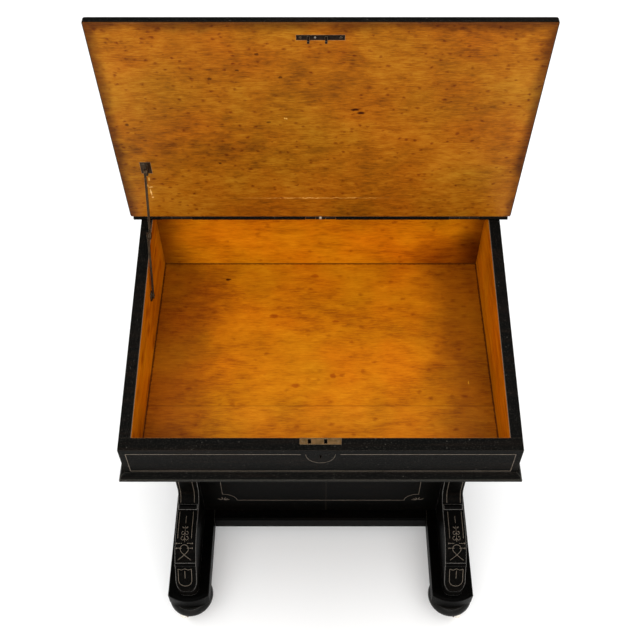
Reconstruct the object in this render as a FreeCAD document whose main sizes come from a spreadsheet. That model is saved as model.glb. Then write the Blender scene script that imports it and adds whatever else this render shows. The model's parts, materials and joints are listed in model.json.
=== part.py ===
import FreeCAD
import Part
import Sketcher
import math
import os
import re

# Davenport desk: a sloping writing box on a side-drawer pedestal with scroll supports and sled feet.
# +X is the sitter's right, +Y runs to the back and +Z is up. The origin is on the floor, at the middle of the
# standing desk. Depths in the sheet are measured back from the front face of the writing box.

SIZES = (
    # Writing box
    ("case_width", 600, "writing box, over its side boards"),
    ("case_depth", 505, "writing box, front face to back face"),
    ("case_base", 636, "underside of the writing box above the floor"),
    ("front_height", 84, "writing box at its front"),
    ("slope_angle", 10, "rise of the rim in degrees"),
    ("shelf_depth", 114, "nosing of the top shelf to the back face"),
    ("side_board", 19, "thickness of a side board"),
    ("front_board", 19, "thickness of the front board"),
    ("floor_board", 8, "thickness of the well's floor"),
    ("rear_space", 88, "front of the well's back wall to the back face"),
    ("wall_board", 12, "thickness of the well's back wall"),
    ("back_board", 12, "thickness of the back board"),
    ("moulding_proud", 9, "square foot of the bottom moulding beyond the boards"),
    ("moulding_foot", 4.5, "square foot of the bottom moulding"),
    ("bead_proud", 7.5, "bead of the bottom moulding beyond the boards"),
    ("bead_height", 9, "bead of the bottom moulding"),
    ("bead_round", 7, "rounding of the bead"),
    # Top shelf and its gallery
    ("shelf_board", 8, "thickness of the top shelf, rounded in front"),
    ("shelf_overhang", 12.5, "top shelf beyond each side board"),
    ("shelf_lip", 6, "top shelf beyond the back board"),
    ("gallery_board", 9, "thickness of the gallery boards"),
    ("gallery_inset", 8, "gallery in from the shelf's edges"),
    ("gallery_height", 32, "gallery at its corners"),
    ("gallery_crest", 18, "rise of the back gallery at its middle"),
    ("gallery_reach", 76, "length of a gallery end"),
    ("gallery_toe", 12, "height of a gallery end at its front"),
    # Lid
    ("lid_front_overhang", 12.7, "closed lid beyond the front face"),
    ("lid_overhang", 17, "lid beyond each side board"),
    ("lid_board", 11, "thickness of the lid's outer board"),
    ("lid_lining", 2, "thickness of the lid's inner veneer"),
    ("lid_margin", 1.5, "lid's edge left bare round the veneer"),
    ("lid_corner", 3, "rounding of the lid's corners"),
    ("lid_round", 4, "rounding of the lid's outer edges"),
    ("leather_margin", 45, "lid's border round the writing leather"),
    ("leather_sheet", 1.2, "thickness of the writing leather"),
    ("lid_lean", 3, "degrees that the open lid leans forward of upright"),
    ("lid_rest_gap", 0.3, "closed lid above the rim"),
    ("lid_tail_gap", 0.6, "hinged end of the lid clear of the nosing"),
    # Butt hinges on the nosing
    ("hinge_length", 50, "length of a hinge"),
    ("hinge_spacing", 240, "middle hinge to an outer hinge"),
    ("hinge_leaf", 1.6, "thickness of a leaf"),
    ("shelf_leaf_width", 18, "leaf let into the shelf"),
    ("lid_leaf_width", 9, "leaf let into the lid's end"),
    ("knuckle_radius", 3.4, "outside of the knuckles"),
    ("lid_knuckle", 16, "length of the lid's knuckle"),
    ("knuckle_gap", 0.4, "between neighbouring knuckles"),
    ("hinge_pin_radius", 1.5, "hinge pin"),
    ("pin_clearance", 0.05, "running clearance round a pin"),
    # Lock in the front board and its link plate on the lid
    ("lock_width", 62, "lock, left to right"),
    ("lock_thickness", 10, "lock, front to back"),
    ("lock_drop", 50, "lock below the rim"),
    ("lock_wall", 1.5, "walls of the lock case and its top plate"),
    ("socket_width", 5, "square hole in the lock plate, left to right"),
    ("socket_length", 7, "square hole in the lock plate, front to back"),
    ("left_hook_offset", 16.5, "left hook from the middle"),
    ("right_hook_offset", 7.6, "right hook from the middle"),
    ("hook_setback", 13, "hooks behind the front face, lid closed"),
    ("hook_width", 3.4, "hook, left to right"),
    ("hook_length", 4.4, "hook, along the lid"),
    ("hook_drop", 10, "hook out of the lid"),
    ("hook_eye", 3.2, "eye in a hook"),
    ("hook_eye_drop", 6.5, "middle of the eye from the lid"),
    ("link_plate_width", 66, "link plate, left to right"),
    ("link_plate_length", 9, "link plate, along the lid"),
    ("bolt_bar_height", 5, "bar of the bolt"),
    ("bolt_bar_thickness", 4, "bar of the bolt, front to back"),
    ("bolt_prong", 2, "prong of the bolt, each way across"),
    ("bolt_prong_reach", 5, "length of a prong"),
    ("bolt_riser", 3, "upright that carries a prong"),
    ("bolt_standoff", 0.6, "prong to the edge of its socket, unlocked"),
    ("bolt_seat", 0.3, "bolt above the floor of its case"),
    ("keyhole_radius", 2.4, "round of the keyhole"),
    ("keyhole_slot", 2.2, "slot of the keyhole"),
    ("keyhole_length", 8, "slot below the round"),
    ("keyhole_drop", 17, "keyhole below the front rim"),
    ("bolt_drop", 38, "bar of the bolt below the front rim"),
    # Folding stay at the left
    ("stay_reach", 127, "stay's lid pivot along the lid from the hinge"),
    ("stay_standoff", 9, "stay's lid pivot out of the lid"),
    ("stay_wall_reach", 112, "stay's wall pivot in front of the hinge line"),
    ("stay_wall_drop", 70, "stay's wall pivot below the hinge line"),
    ("stay_plate", 2, "thickness of the wall plate"),
    ("stay_plate_radius", 9, "wall plate"),
    ("stay_arm", 3, "thickness of an arm"),
    ("stay_gap", 0.4, "between neighbours along a pivot"),
    ("stay_width", 5, "width of an arm"),
    ("stay_eye", 4.5, "radius of an arm's pivot eye"),
    ("stay_elbow", 5.5, "radius of an arm's elbow eye"),
    ("stay_pin_radius", 2, "pivot pins of the stay"),
    ("stay_lug", 2.5, "thickness of the lid bracket's lug"),
    ("stay_lug_radius", 6, "rounded end of the lug"),
    ("bracket_width", 17, "lid bracket, left to right"),
    ("bracket_length", 26, "lid bracket, along the lid"),
    ("bracket_inset", 4, "lid bracket's outer edge beyond the arms"),
    # Pedestal
    ("pedestal_shoulder", 15, "pedestal in from each side of the writing box"),
    ("pedestal_inset", 16, "pedestal in from the back face"),
    ("panel_setback", 189, "front panel behind the front face"),
    ("panel_board", 16, "thickness of the front and back panels"),
    ("left_panel", 18, "thickness of the panel behind the dummy drawers"),
    ("dummy_board", 8, "thickness of a dummy drawer front"),
    ("dust_board", 10, "thickness of a board between drawers"),
    ("dust_inset", 2, "dust boards behind the drawer fronts"),
    ("drawer_front", 18, "thickness of a drawer front"),
    ("drawer_gap", 1, "room round a drawer front"),
    ("drawer_float", 0.3, "drawer above what it runs on"),
    ("drawer_wall", 9, "drawer sides and back"),
    ("drawer_bottom", 6, "drawer bottom"),
    ("drawer_headroom", 12, "drawer box below the board above it"),
    ("drawer_stop", 4, "drawer box clear of the left panel"),
    ("knob_radius", 13, "turned knob"),
    ("knob_reach", 21, "turned knob out of its front"),
    ("knob_spread", 75, "knob from the middle of its front"),
    # Plinth, sled feet and supports
    ("plinth_top", 104, "top of the plinth and feet above the floor"),
    ("plinth_board", 34, "thickness of the plinth"),
    ("plinth_setback", 167, "plinth behind the front face"),
    ("plinth_inset", 15, "plinth in from the back face"),
    ("plinth_round", 5, "rounding of the plinth's front"),
    ("foot_width", 81, "sled foot, left to right"),
    ("foot_shoulder", 37.5, "middle of a sled foot in from the side of the writing box"),
    ("foot_setback", 10, "shoulders of a foot's nose behind the front face"),
    ("foot_nose", 13, "nose of a foot before its shoulders"),
    ("foot_inset", 10, "sled foot in from the back face"),
    ("foot_board", 40, "thickness of a sled foot"),
    ("foot_round", 6, "rounding of a foot's upper edges"),
    ("support_width", 41, "scroll support, left to right"),
    ("support_toe", 8.5, "toe of a support behind the front face"),
    ("toe_height", 21, "toe of a support above its foot"),
    ("toe_round", 14, "corners of a support's toe, seen from above"),
    ("shin_run", 33.5, "straight shin of a support, front to back"),
    ("shin_rise", 51, "straight shin of a support, upwards"),
    ("knee_run", 63, "rounded knee of a support, front to back"),
    ("knee_rise", 34, "rounded knee of a support, upwards"),
    ("knee_radius", 75, "rounded knee of a support"),
    ("waist_proud", 18, "waist of a support out of the panel"),
    ("waist_radius", 25, "hollow at the waist of a support"),
    ("waist_length", 55, "upright part of the waist"),
    ("crown_setback", 60, "top of a support behind the front face"),
    ("roll_radius", 5, "raised roll across a support's waist"),
    ("roll_inset", 2, "ends of the roll in from the support's sides"),
    ("bar_radius", 3.5, "raised bar across a support's shin"),
    # Bun feet and castors
    ("bun_width", 88, "bun foot"),
    ("bun_height", 34, "bun foot"),
    ("bun_setback", 29, "front bun feet behind the front face"),
    ("rear_bun_inset", 40, "rear bun feet in from the back face"),
    ("castor_plate", 3, "thickness of a castor's top plate"),
    ("castor_plate_radius", 17, "castor's top plate"),
    ("castor_pin_radius", 3, "swivel pin of a castor"),
    ("castor_boss_radius", 9, "boss of a castor fork"),
    ("castor_boss", 5.7, "height of the boss"),
    ("castor_gap", 0.3, "boss below its plate"),
    ("castor_trail", 27, "wheel behind its swivel pin"),
    ("castor_turn", 33, "degrees that the castors point outwards"),
    ("wheel_radius", 12, "porcelain wheel"),
    ("wheel_width", 12, "porcelain wheel"),
    ("wheel_side_gap", 0.8, "wheel to a fork arm"),
    ("axle_radius", 2, "axle of a wheel"),
    ("fork_arm", 2.5, "thickness of a fork arm"),
    ("fork_eye", 4.5, "fork arm round the axle"),
    # One overrun for every cut
    ("overrun", 3, "cutting tools beyond the face that they cut"),
)

# Drawer openings from the top down, as shares of the height that the dust boards leave.
DRAWER_SHARES = (0.232, 0.242, 0.254, 0.272)
# Turned profiles as shares of their radius and height, from the foot of the axis up.
BUN_RADIUS_SHARES = (0.42, 1.0, 0.82)
BUN_HEIGHT_SHARES = (0.0, 0.62, 1.0)
KNOB_RADIUS_SHARES = (0.66, 0.42, 1.0, 0.62)
KNOB_HEIGHT_SHARES = (0.0, 0.3, 0.66, 1.0)
WHEEL_RADIUS_SHARES = (0.62, 1.0, 1.0, 0.62)
WHEEL_HEIGHT_SHARES = (0.0, 0.22, 0.78, 1.0)
FORK_LEAD_SHARE = 0.6

# Sizes that are worked out from those in the sheet
DERIVED = {
    "half_case": "case_width / 2",
    "pedestal_width": "case_width - 2 * pedestal_shoulder",
    "half_pedestal": "pedestal_width / 2",
    "foot_spacing": "case_width - 2 * foot_shoulder",
    "origin_setback": "(case_depth + shelf_lip + bun_setback - bun_width / 2) / 2",
    "rim_height": "case_base + front_height",
    "slope_depth": "case_depth - shelf_depth",
    "shelf_base": "rim_height + slope_depth * tan(slope_angle)",
    "inner_rim": "rim_height + front_board * tan(slope_angle)",
    "well_setback": "case_depth - rear_space",
    "hinge_setback": "slope_depth + shelf_board / 2",
    "hinge_height": "shelf_base + shelf_board / 2",
    "hinge_over_rim": "hinge_height - rim_height - hinge_setback * tan(slope_angle)",
    "lid_face": "hinge_over_rim * cos(slope_angle) - lid_rest_gap",
    "lid_tail": "shelf_board / 2 + lid_tail_gap",
    "lid_end": "(hinge_setback + lid_front_overhang) / cos(slope_angle) + hinge_over_rim * sin(slope_angle)",
    "hook_reach": "(hinge_setback - hook_setback) / cos(slope_angle) + hinge_over_rim * sin(slope_angle)",
    "hook_fall": "hook_eye_drop - lid_rest_gap",
    "eye_height": "rim_height + hook_setback * tan(slope_angle) - hook_fall * cos(slope_angle)",
    "eye_setback": "hook_setback + hook_fall * sin(slope_angle)",
    "bolt_base": "rim_height - bolt_drop",
    "stay_lid_x": "side_board - half_case + stay_plate + 3 * stay_gap + 2 * stay_arm",
    "stay_wall_setback": "hinge_setback - stay_wall_reach",
    "stay_wall_height": "hinge_height - stay_wall_drop",
    "pedestal_depth": "case_depth - panel_setback - pedestal_inset",
    "panel_back": "case_depth - pedestal_inset - panel_board",
    "plinth_back": "case_depth - plinth_inset",
    "foot_back": "case_depth - foot_inset",
    "rear_bun_setback": "case_depth - rear_bun_inset",
    "bun_base": "plinth_top - foot_board - bun_height",
    "knee_foot": "plinth_top + toe_height + shin_rise",
    "waist_foot": "knee_foot + knee_rise",
}

NAMES = {name for name, value, meaning in SIZES}
SCRATCH_CELL = "E1"

doc = FreeCAD.newDocument("davenport_desk")
sizes = doc.addObject("Spreadsheet::Sheet", "sizes")
nodes = {}


def fill_sheet():
    """Writes each driving size, its name and its meaning in one row of the sheet."""
    for row, (name, value, meaning) in enumerate(SIZES, start=1):
        sizes.set(f"A{row}", name)
        sizes.set(f"B{row}", str(value))
        sizes.setAlias(f"B{row}", name)
        sizes.set(f"C{row}", meaning)
    doc.recompute()


def spelled(formula):
    """The formula in the sheet's sizes alone, with each worked-out size written out."""
    return re.sub(
        r"[a-z_][a-z_0-9]*",
        lambda word: f"({spelled(DERIVED[word.group()])})" if word.group() in DERIVED else word.group(),
        formula,
    )


def bound(formula):
    """The formula with each size named as a cell of the sheet."""
    return re.sub(
        r"[a-z_][a-z_0-9]*",
        lambda word: "sizes." + word.group() if word.group() in NAMES else word.group(),
        spelled(formula),
    )


def measure(formula):
    """The value that a formula has in the sheet."""
    sizes.set(SCRATCH_CELL, "=" + spelled(formula))
    sizes.recompute()
    value = float(sizes.get(SCRATCH_CELL))
    sizes.clear(SCRATCH_CELL)
    return value


def keep(node, piece):
    """Names a finished sub-part, which then goes to its own file."""
    piece.Label = node
    nodes[node] = piece
    return piece


def place(piece, x="0", y="0", z="0", origin="origin_setback"):
    """Sets a piece down at a place measured from the writing box's front face."""
    piece.setExpression("Placement.Base.x", bound(x))
    piece.setExpression("Placement.Base.y", bound(f"{y} - {origin}"))
    piece.setExpression("Placement.Base.z", bound(z))
    return piece


def turn(piece, axis, degrees):
    """Turns a piece about one axis through its own origin."""
    piece.Placement = FreeCAD.Placement(FreeCAD.Vector(), FreeCAD.Rotation(FreeCAD.Vector(*axis), degrees))
    return piece


def block(name, size, low, origin="origin_setback"):
    """A board or bar with its lowest corner at low."""
    piece = doc.addObject("Part::Box", name)
    for side, formula in zip(("Length", "Width", "Height"), size):
        piece.setExpression(side, bound(formula))
    return place(piece, *low, origin=origin)


def rod(name, radius, length, start, along, origin="origin_setback"):
    """A round bar from start along +X, +Y or +Z."""
    piece = doc.addObject("Part::Cylinder", name)
    piece.setExpression("Radius", bound(radius))
    piece.setExpression("Height", bound(length))
    if along == "x":
        turn(piece, (0, 1, 0), 90)
    elif along == "y":
        turn(piece, (1, 0, 0), -90)
    return place(piece, *start, origin=origin)


def joined(name, pieces):
    """Several shapes made one solid."""
    piece = doc.addObject("Part::MultiFuse", name)
    piece.Shapes = pieces
    return piece


def grouped(name, pieces):
    """Several solids that stay separate in one node."""
    piece = doc.addObject("Part::Compound", name)
    piece.Links = pieces
    return piece


def cut(name, base, tools):
    """A solid with every tool taken out of it."""
    piece = doc.addObject("Part::Cut", name)
    piece.Base = base
    piece.Tool = tools[0] if len(tools) == 1 else grouped(name + "_tools", tools)
    return piece


def arc_between(start, end, radius, bend):
    """Circular arc from start to end that bends left (1) or right (-1)."""
    run, rise = end[0] - start[0], end[1] - start[1]
    chord = math.hypot(run, rise)
    depth = bend * math.sqrt(max(radius**2 - chord**2 / 4, 0)) / chord
    middle = ((start[0] + end[0]) / 2 - rise * depth, (start[1] + end[1]) / 2 + run * depth)
    first, last = (start, end) if bend > 0 else (end, start)
    low = math.atan2(first[1] - middle[1], first[0] - middle[0])
    high = math.atan2(last[1] - middle[1], last[0] - middle[0])
    circle = Part.Circle(FreeCAD.Vector(*middle, 0), FreeCAD.Vector(0, 0, 1), radius)
    return Part.ArcOfCircle(circle, low, high if high > low else high + 2 * math.pi)


def outline(body, plane, corners):
    """Closed sketch on one of the body's own planes, with every corner bound to the sheet.

    A corner is (across, up), or (across, up, radius, bend) where an arc arrives at it.
    """
    sketch = body.newObject("Sketcher::SketchObject", body.Name + "_outline")
    support = [feature for feature in body.Origin.OriginFeatures if feature.Role == plane][0]
    sketch.AttachmentSupport = [(support, "")]
    sketch.MapMode = "FlatFace"
    points = [(measure(corner[0]), measure(corner[1])) for corner in corners]
    edges = []
    for index, start in enumerate(points):
        target = (index + 1) % len(points)
        if len(corners[target]) == 2:
            line = Part.LineSegment(FreeCAD.Vector(*start, 0), FreeCAD.Vector(*points[target], 0))
            edges.append((sketch.addGeometry(line), 1, 2))
        else:
            radius, bend = corners[target][2:]
            edge = sketch.addGeometry(arc_between(start, points[target], measure(radius), bend))
            edges.append((edge, 1, 2) if bend > 0 else (edge, 2, 1))
            number = sketch.addConstraint(Sketcher.Constraint("Radius", edge, measure(radius)))
            sketch.setExpression(f"Constraints[{number}]", bound(radius))
    for here, after in zip(edges, edges[1:] + edges[:1]):
        sketch.addConstraint(Sketcher.Constraint("Coincident", here[0], here[2], after[0], after[1]))
    for (edge, first, last), corner, point in zip(edges, corners, points):
        for kind, other_axis, formula, value in zip(("DistanceX", "DistanceY"), (-2, -1), corner, point):
            if formula == "0":
                sketch.addConstraint(Sketcher.Constraint("PointOnObject", edge, first, other_axis))
            else:
                number = sketch.addConstraint(Sketcher.Constraint(kind, -1, 1, edge, first, value))
                sketch.setExpression(f"Constraints[{number}]", bound(formula))
    return sketch


def padded(name, plane, corners, thickness):
    """Body sawn to an outline: along +X from YZ_Plane, +Z from XY_Plane, -Y from XZ_Plane."""
    body = doc.addObject("PartDesign::Body", name)
    pad = body.newObject("PartDesign::Pad", name + "_pad")
    pad.Profile = outline(body, plane, corners)
    pad.setExpression("Length", bound(thickness))
    return body


def turned(name, corners):
    """Body turned about its own Z axis from half its outline."""
    body = doc.addObject("PartDesign::Body", name)
    spun = body.newObject("PartDesign::Revolution", name + "_turning")
    sketch = outline(body, "XZ_Plane", corners)
    spun.Profile = sketch
    spun.ReferenceAxis = (sketch, ["V_Axis"])
    spun.Angle = 360
    return body


def rounded(body, side, radius):
    """Rounds all edges of the flat face that looks along side, in the body's own axes."""
    doc.recompute()
    last = body.Tip
    way = FreeCAD.Vector(*side)
    flat = [
        (face.CenterOfMass.dot(way), number)
        for number, face in enumerate(last.Shape.Faces, start=1)
        if isinstance(face.Surface, Part.Plane) and face.normalAt(0, 0).dot(way) > math.cos(math.radians(1))
    ]
    fillet = body.newObject("PartDesign::Fillet", body.Name + "_round")
    fillet.Base = (last, [f"Face{max(flat)[1]}"])
    fillet.setExpression("Radius", bound(radius))
    return body


def hang_on_lid(piece):
    """Puts a piece drawn in the lid's own axes, hinge line at zero, on the open lid."""
    turn(piece, (1, 0, 0), measure("lid_lean"))
    piece.setExpression("Placement.Rotation.Angle", bound("lid_lean"))
    return place(piece, "0", "hinge_setback", "hinge_height")


def writing_box():
    """Boards of the sloping case, its well and the moulding round its foot."""
    side_corners = (
        ("front_board", "case_base"),
        ("case_depth", "case_base"),
        ("case_depth", "shelf_base"),
        ("slope_depth", "shelf_base"),
        ("front_board", "inner_rim"),
    )
    for node, x in (("case_left_side", "-half_case"), ("case_right_side", "half_case - side_board")):
        keep(node, place(padded(node, "YZ_Plane", side_corners, "side_board"), x))

    front_corners = (
        ("0", "case_base"),
        ("front_board", "case_base"),
        ("front_board", "inner_rim"),
        ("0", "rim_height"),
    )
    blank = place(padded("front_blank", "YZ_Plane", front_corners, "case_width"), "-half_case")
    mortise = block(
        "lock_mortise",
        ("lock_width", "lock_thickness + overrun", "lock_drop + overrun"),
        ("-lock_width / 2", "front_board - lock_thickness", "inner_rim - lock_drop"),
    )
    keep("case_front_board", cut("front_cut", blank, [mortise, *keyhole("front")]))

    well_width = "(case_width - 2 * side_board)"
    well_left = "(side_board - half_case)"
    rear_floor = "(well_setback + wall_board)"
    keep("case_floor", grouped("floor_boards", [
        block(
            "well_floor",
            (well_width, "well_setback - front_board", "floor_board"),
            (well_left, "front_board", "case_base"),
        ),
        block(
            "rear_floor",
            (well_width, f"case_depth - back_board - {rear_floor}", "floor_board"),
            (well_left, rear_floor, "case_base"),
        ),
    ]))
    keep("well_back_wall", block(
        "wall_blank",
        (well_width, "wall_board", "shelf_base - case_base"),
        (well_left, "well_setback", "case_base"),
    ))
    keep("case_back_board", block(
        "back_blank",
        (well_width, "back_board", "shelf_base - case_base"),
        (well_left, "case_depth - back_board", "case_base"),
    ))
    bottom_moulding()


def keyhole(name):
    """Round and slot of the keyhole, through the front board and the front of the lock."""
    low = "rim_height - keyhole_drop"
    depth = "front_board - lock_thickness + lock_wall + 2 * overrun"
    pin_hole = rod(f"{name}_keyhole_round", "keyhole_radius", depth, ("0", "-overrun", low), "y")
    bit_slot = block(
        f"{name}_keyhole_slot",
        ("keyhole_slot", depth, "keyhole_length"),
        ("-keyhole_slot / 2", "-overrun", f"{low} - keyhole_length"),
    )
    return pin_hole, bit_slot


def bottom_moulding():
    """Three mitred lengths, each a rounded bead on a square foot."""
    lengths = []
    for side, way in (("front", (0, -1, 0)), ("left", (-1, 0, 0)), ("right", (1, 0, 0))):
        foot = padded(f"{side}_moulding_foot", "XY_Plane", mitred(side, "moulding_proud"), "moulding_foot")
        bead = padded(f"{side}_moulding_bead", "XY_Plane", mitred(side, "bead_proud"), "bead_height")
        rounded_edge(bead, (*way[:2], 1), "bead_round")
        place(foot, z="case_base")
        place(bead, z="case_base + moulding_foot")
        lengths.append(joined(f"{side}_moulding", [foot, bead]))
    keep("case_bottom_moulding", grouped("moulding_set", lengths))


def mitred(side, proud):
    """Plan of one length of moulding that stands proud of the boards, with its ends mitred in front."""
    outer = f"(half_case + {proud})"
    if side == "front":
        return ("-half_case", "0"), (f"-{outer}", f"-{proud}"), (outer, f"-{proud}"), ("half_case", "0")
    sign = "-" if side == "left" else ""
    return (
        (f"{sign}half_case", "0"),
        (f"{sign}{outer}", f"-{proud}"),
        (f"{sign}{outer}", "case_depth"),
        (f"{sign}half_case", "case_depth"),
    )


def rounded_edge(body, way, radius):
    """Rounds the one edge of a body that lies furthest along a way."""
    doc.recompute()
    last = body.Tip
    ranked = [
        (edge.CenterOfMass.dot(FreeCAD.Vector(*way)), number)
        for number, edge in enumerate(last.Shape.Edges, start=1)
    ]
    fillet = body.newObject("PartDesign::Fillet", body.Name + "_round")
    fillet.Base = (last, [f"Edge{max(ranked)[1]}"])
    fillet.setExpression("Radius", bound(radius))
    return body


def top_shelf():
    """Thin flat top with a rounded nosing, notched and let in for the hinges, and its low gallery."""
    shelf_back = "case_depth + shelf_lip"
    profile = (
        (shelf_back, "shelf_base"),
        (shelf_back, "shelf_base + shelf_board"),
        ("hinge_setback", "shelf_base + shelf_board"),
        ("slope_depth", "hinge_height", "shelf_board / 2", 1),
        ("hinge_setback", "shelf_base", "shelf_board / 2", 1),
    )
    half_shelf = "(half_case + shelf_overhang)"
    blank = padded("shelf_blank", "YZ_Plane", profile, f"2 * {half_shelf}")
    place(blank, f"-{half_shelf}")
    tools = []
    for number, x in enumerate(hinge_places()):
        tools.append(block(
            f"knuckle_notch_{number}",
            ("hinge_length + 2 * knuckle_gap", "shelf_board / 2 + knuckle_radius + knuckle_gap + overrun",
             "shelf_board + 2 * overrun"),
            (f"{x} - hinge_length / 2 - knuckle_gap", "slope_depth - overrun", "shelf_base - overrun"),
        ))
        tools.append(block(
            f"shelf_leaf_recess_{number}",
            ("hinge_length", "shelf_leaf_width", "hinge_leaf + overrun"),
            (f"{x} - hinge_length / 2", "hinge_setback + knuckle_radius + knuckle_gap",
             "shelf_base + shelf_board - hinge_leaf"),
        ))
    keep("top_shelf", cut("shelf_cut", blank, tools))

    half_gallery = f"({half_shelf} - gallery_inset)"
    crest = f"(({half_gallery} * {half_gallery} + gallery_crest * gallery_crest) / (2 * gallery_crest))"
    back = (
        (f"-{half_gallery}", "0"),
        (half_gallery, "0"),
        (half_gallery, "gallery_height"),
        (f"-{half_gallery}", "gallery_height", crest, 1),
    )
    gallery_top = "shelf_base + shelf_board"
    gallery_line = f"({shelf_back} - gallery_inset)"
    body = padded("gallery_back_blank", "XZ_Plane", back, "gallery_board")
    keep("gallery_back", place(body, "0", gallery_line, gallery_top))
    fall = "(gallery_height - gallery_toe)"
    swept = f"(gallery_reach * gallery_reach / (2 * {fall}) + {fall} / 2)"
    end = (
        ("0", "0"),
        ("0", "gallery_height"),
        ("-gallery_reach", "gallery_toe", swept, -1),
        ("-gallery_reach", "0"),
    )
    ends = []
    places = (("gallery_left", f"-{half_gallery}"), ("gallery_right", f"{half_gallery} - gallery_board"))
    for name, x in places:
        body = padded(name, "YZ_Plane", end, "gallery_board")
        ends.append(place(body, x, f"{gallery_line} - gallery_board", gallery_top))
    keep("gallery_ends", grouped("gallery_end_set", ends))


def hinge_places():
    """Middles of the three hinges along the nosing."""
    return "-hinge_spacing", "0", "hinge_spacing"


def hinges():
    """Three butt hinges: leaves in the shelf, leaves in the lid's end and their pins."""
    side_knuckle = "((hinge_length - lid_knuckle) / 2 - knuckle_gap)"
    shelf_leaves, lid_leaves, pins = [], [], []
    for number, x in enumerate(hinge_places()):
        first = f"({x} - hinge_length / 2)"
        plate = block(
            f"shelf_leaf_plate_{number}",
            ("hinge_length", "shelf_leaf_width", "hinge_leaf"),
            (first, "hinge_setback + knuckle_radius + knuckle_gap",
             "hinge_height + shelf_board / 2 - hinge_leaf"),
        )
        pieces = [plate]
        bores = []
        for end, start in enumerate((first, f"({x} + hinge_length / 2 - {side_knuckle})")):
            pieces.append(rod(
                f"shelf_knuckle_{number}_{end}",
                "knuckle_radius",
                side_knuckle,
                (start, "hinge_setback", "hinge_height"),
                "x",
            ))
            pieces.append(block(
                f"shelf_web_{number}_{end}",
                (side_knuckle, "knuckle_radius + knuckle_gap", "hinge_leaf"),
                (start, "hinge_setback", "hinge_height + knuckle_radius - hinge_leaf"),
            ))
        bores.append(rod(
            f"shelf_bore_{number}",
            "hinge_pin_radius",
            "hinge_length + 2 * overrun",
            (f"{first} - overrun", "hinge_setback", "hinge_height"),
            "x",
        ))
        shelf_leaves.append(cut(f"shelf_leaf_{number}", joined(f"shelf_leaf_blank_{number}", pieces), bores))
        lid_leaves.append(lid_leaf(number, x))
        pins.append(rod(
            f"hinge_pin_{number}",
            "hinge_pin_radius",
            "hinge_length",
            (first, "hinge_setback", "hinge_height"),
            "x",
        ))
    keep("hinge_shelf_leaves", grouped("shelf_leaf_set", shelf_leaves))
    keep("hinge_lid_leaves", hang_on_lid(grouped("lid_leaf_set", lid_leaves)))
    keep("hinge_pins", grouped("hinge_pin_set", pins))


def lid_leaf(number, x):
    """Leaf let into the hinged end of the lid, with its one knuckle, in the lid's axes."""
    knuckle_start = f"({x} - lid_knuckle / 2)"
    plate = block(
        f"lid_leaf_plate_{number}",
        ("hinge_length", "lid_leaf_width", "hinge_leaf"),
        (f"{x} - hinge_length / 2", "0", "lid_tail"),
        origin="0",
    )
    web = block(
        f"lid_web_{number}",
        ("lid_knuckle", "hinge_leaf", "lid_tail + hinge_leaf"),
        (knuckle_start, "0", "0"),
        origin="0",
    )
    knuckle = rod(
        f"lid_knuckle_{number}", "knuckle_radius", "lid_knuckle", (knuckle_start, "0", "0"), "x", origin="0"
    )
    bore = rod(
        f"lid_bore_{number}",
        "hinge_pin_radius + pin_clearance",
        "lid_knuckle + 2 * overrun",
        (f"{knuckle_start} - overrun", "0", "0"),
        "x",
        origin="0",
    )
    return cut(f"lid_leaf_{number}", joined(f"lid_leaf_blank_{number}", [plate, web, knuckle]), [bore])


def lid():
    """Lid board with its veneered inner face, let in for the hinges, link plate and stay bracket."""
    half_lid = "(half_case + lid_overhang)"
    square = f"({half_lid} - lid_corner)"
    corners = (
        (square, "lid_tail"),
        (half_lid, "lid_tail + lid_corner", "lid_corner", 1),
        (half_lid, "lid_end - lid_corner"),
        (square, "lid_end", "lid_corner", 1),
        (f"-{square}", "lid_end"),
        (f"-{half_lid}", "lid_end - lid_corner", "lid_corner", 1),
        (f"-{half_lid}", "lid_tail + lid_corner"),
        (f"-{square}", "lid_tail", "lid_corner", 1),
    )
    board = padded("lid_board_blank", "XZ_Plane", corners, "lid_board")
    rounded(board, (0, 1, 0), "lid_round")
    place(board, "0", "lid_board + lid_lining - lid_face", origin="0")
    recesses = [
        block(
            f"lid_leaf_recess_{number}",
            ("hinge_length", "lid_leaf_width", "hinge_leaf + overrun"),
            (f"{x} - hinge_length / 2", "0", "lid_tail - overrun"),
            origin="0",
        )
        for number, x in enumerate(hinge_places())
    ]
    recesses.append(block("leather_recess", *leather_box("overrun"), origin="0"))
    keep("lid_board", hang_on_lid(cut("lid_board_cut", board, recesses)))
    keep("lid_leather", hang_on_lid(grouped("leather_set", [block("leather", *leather_box("0"), origin="0")])))

    veneer = block(
        "lid_veneer",
        (f"2 * ({half_lid} - lid_margin)", "lid_lining", "lid_end - lid_tail - 2 * lid_margin"),
        (f"lid_margin - {half_lid}", "-lid_face", "lid_tail + lid_margin"),
        origin="0",
    )
    link_recess = block("link_recess", *link_plate_box(), origin="0")
    bracket_recess = block("bracket_recess", *bracket_plate_box(), origin="0")
    keep("lid_lining", hang_on_lid(cut("lid_veneer_cut", veneer, [link_recess, bracket_recess])))
    link_plate()


def leather_box(extra):
    """Size and lowest corner of the leather let into the lid's outer face, in the lid's axes."""
    half_leather = "(half_case + lid_overhang - leather_margin)"
    length = "lid_end - lid_tail - 2 * leather_margin"
    back = "lid_board + lid_lining - lid_face - leather_sheet"
    size = (f"2 * {half_leather}", f"leather_sheet + {extra}", length)
    return size, (f"-{half_leather}", back, "lid_tail + leather_margin")


def link_plate_box():
    """Size and lowest corner of the link plate in the lid's axes."""
    size = ("link_plate_width", "lid_lining", "link_plate_length")
    return size, ("-link_plate_width / 2", "-lid_face", "hook_reach - link_plate_length / 2")


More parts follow.
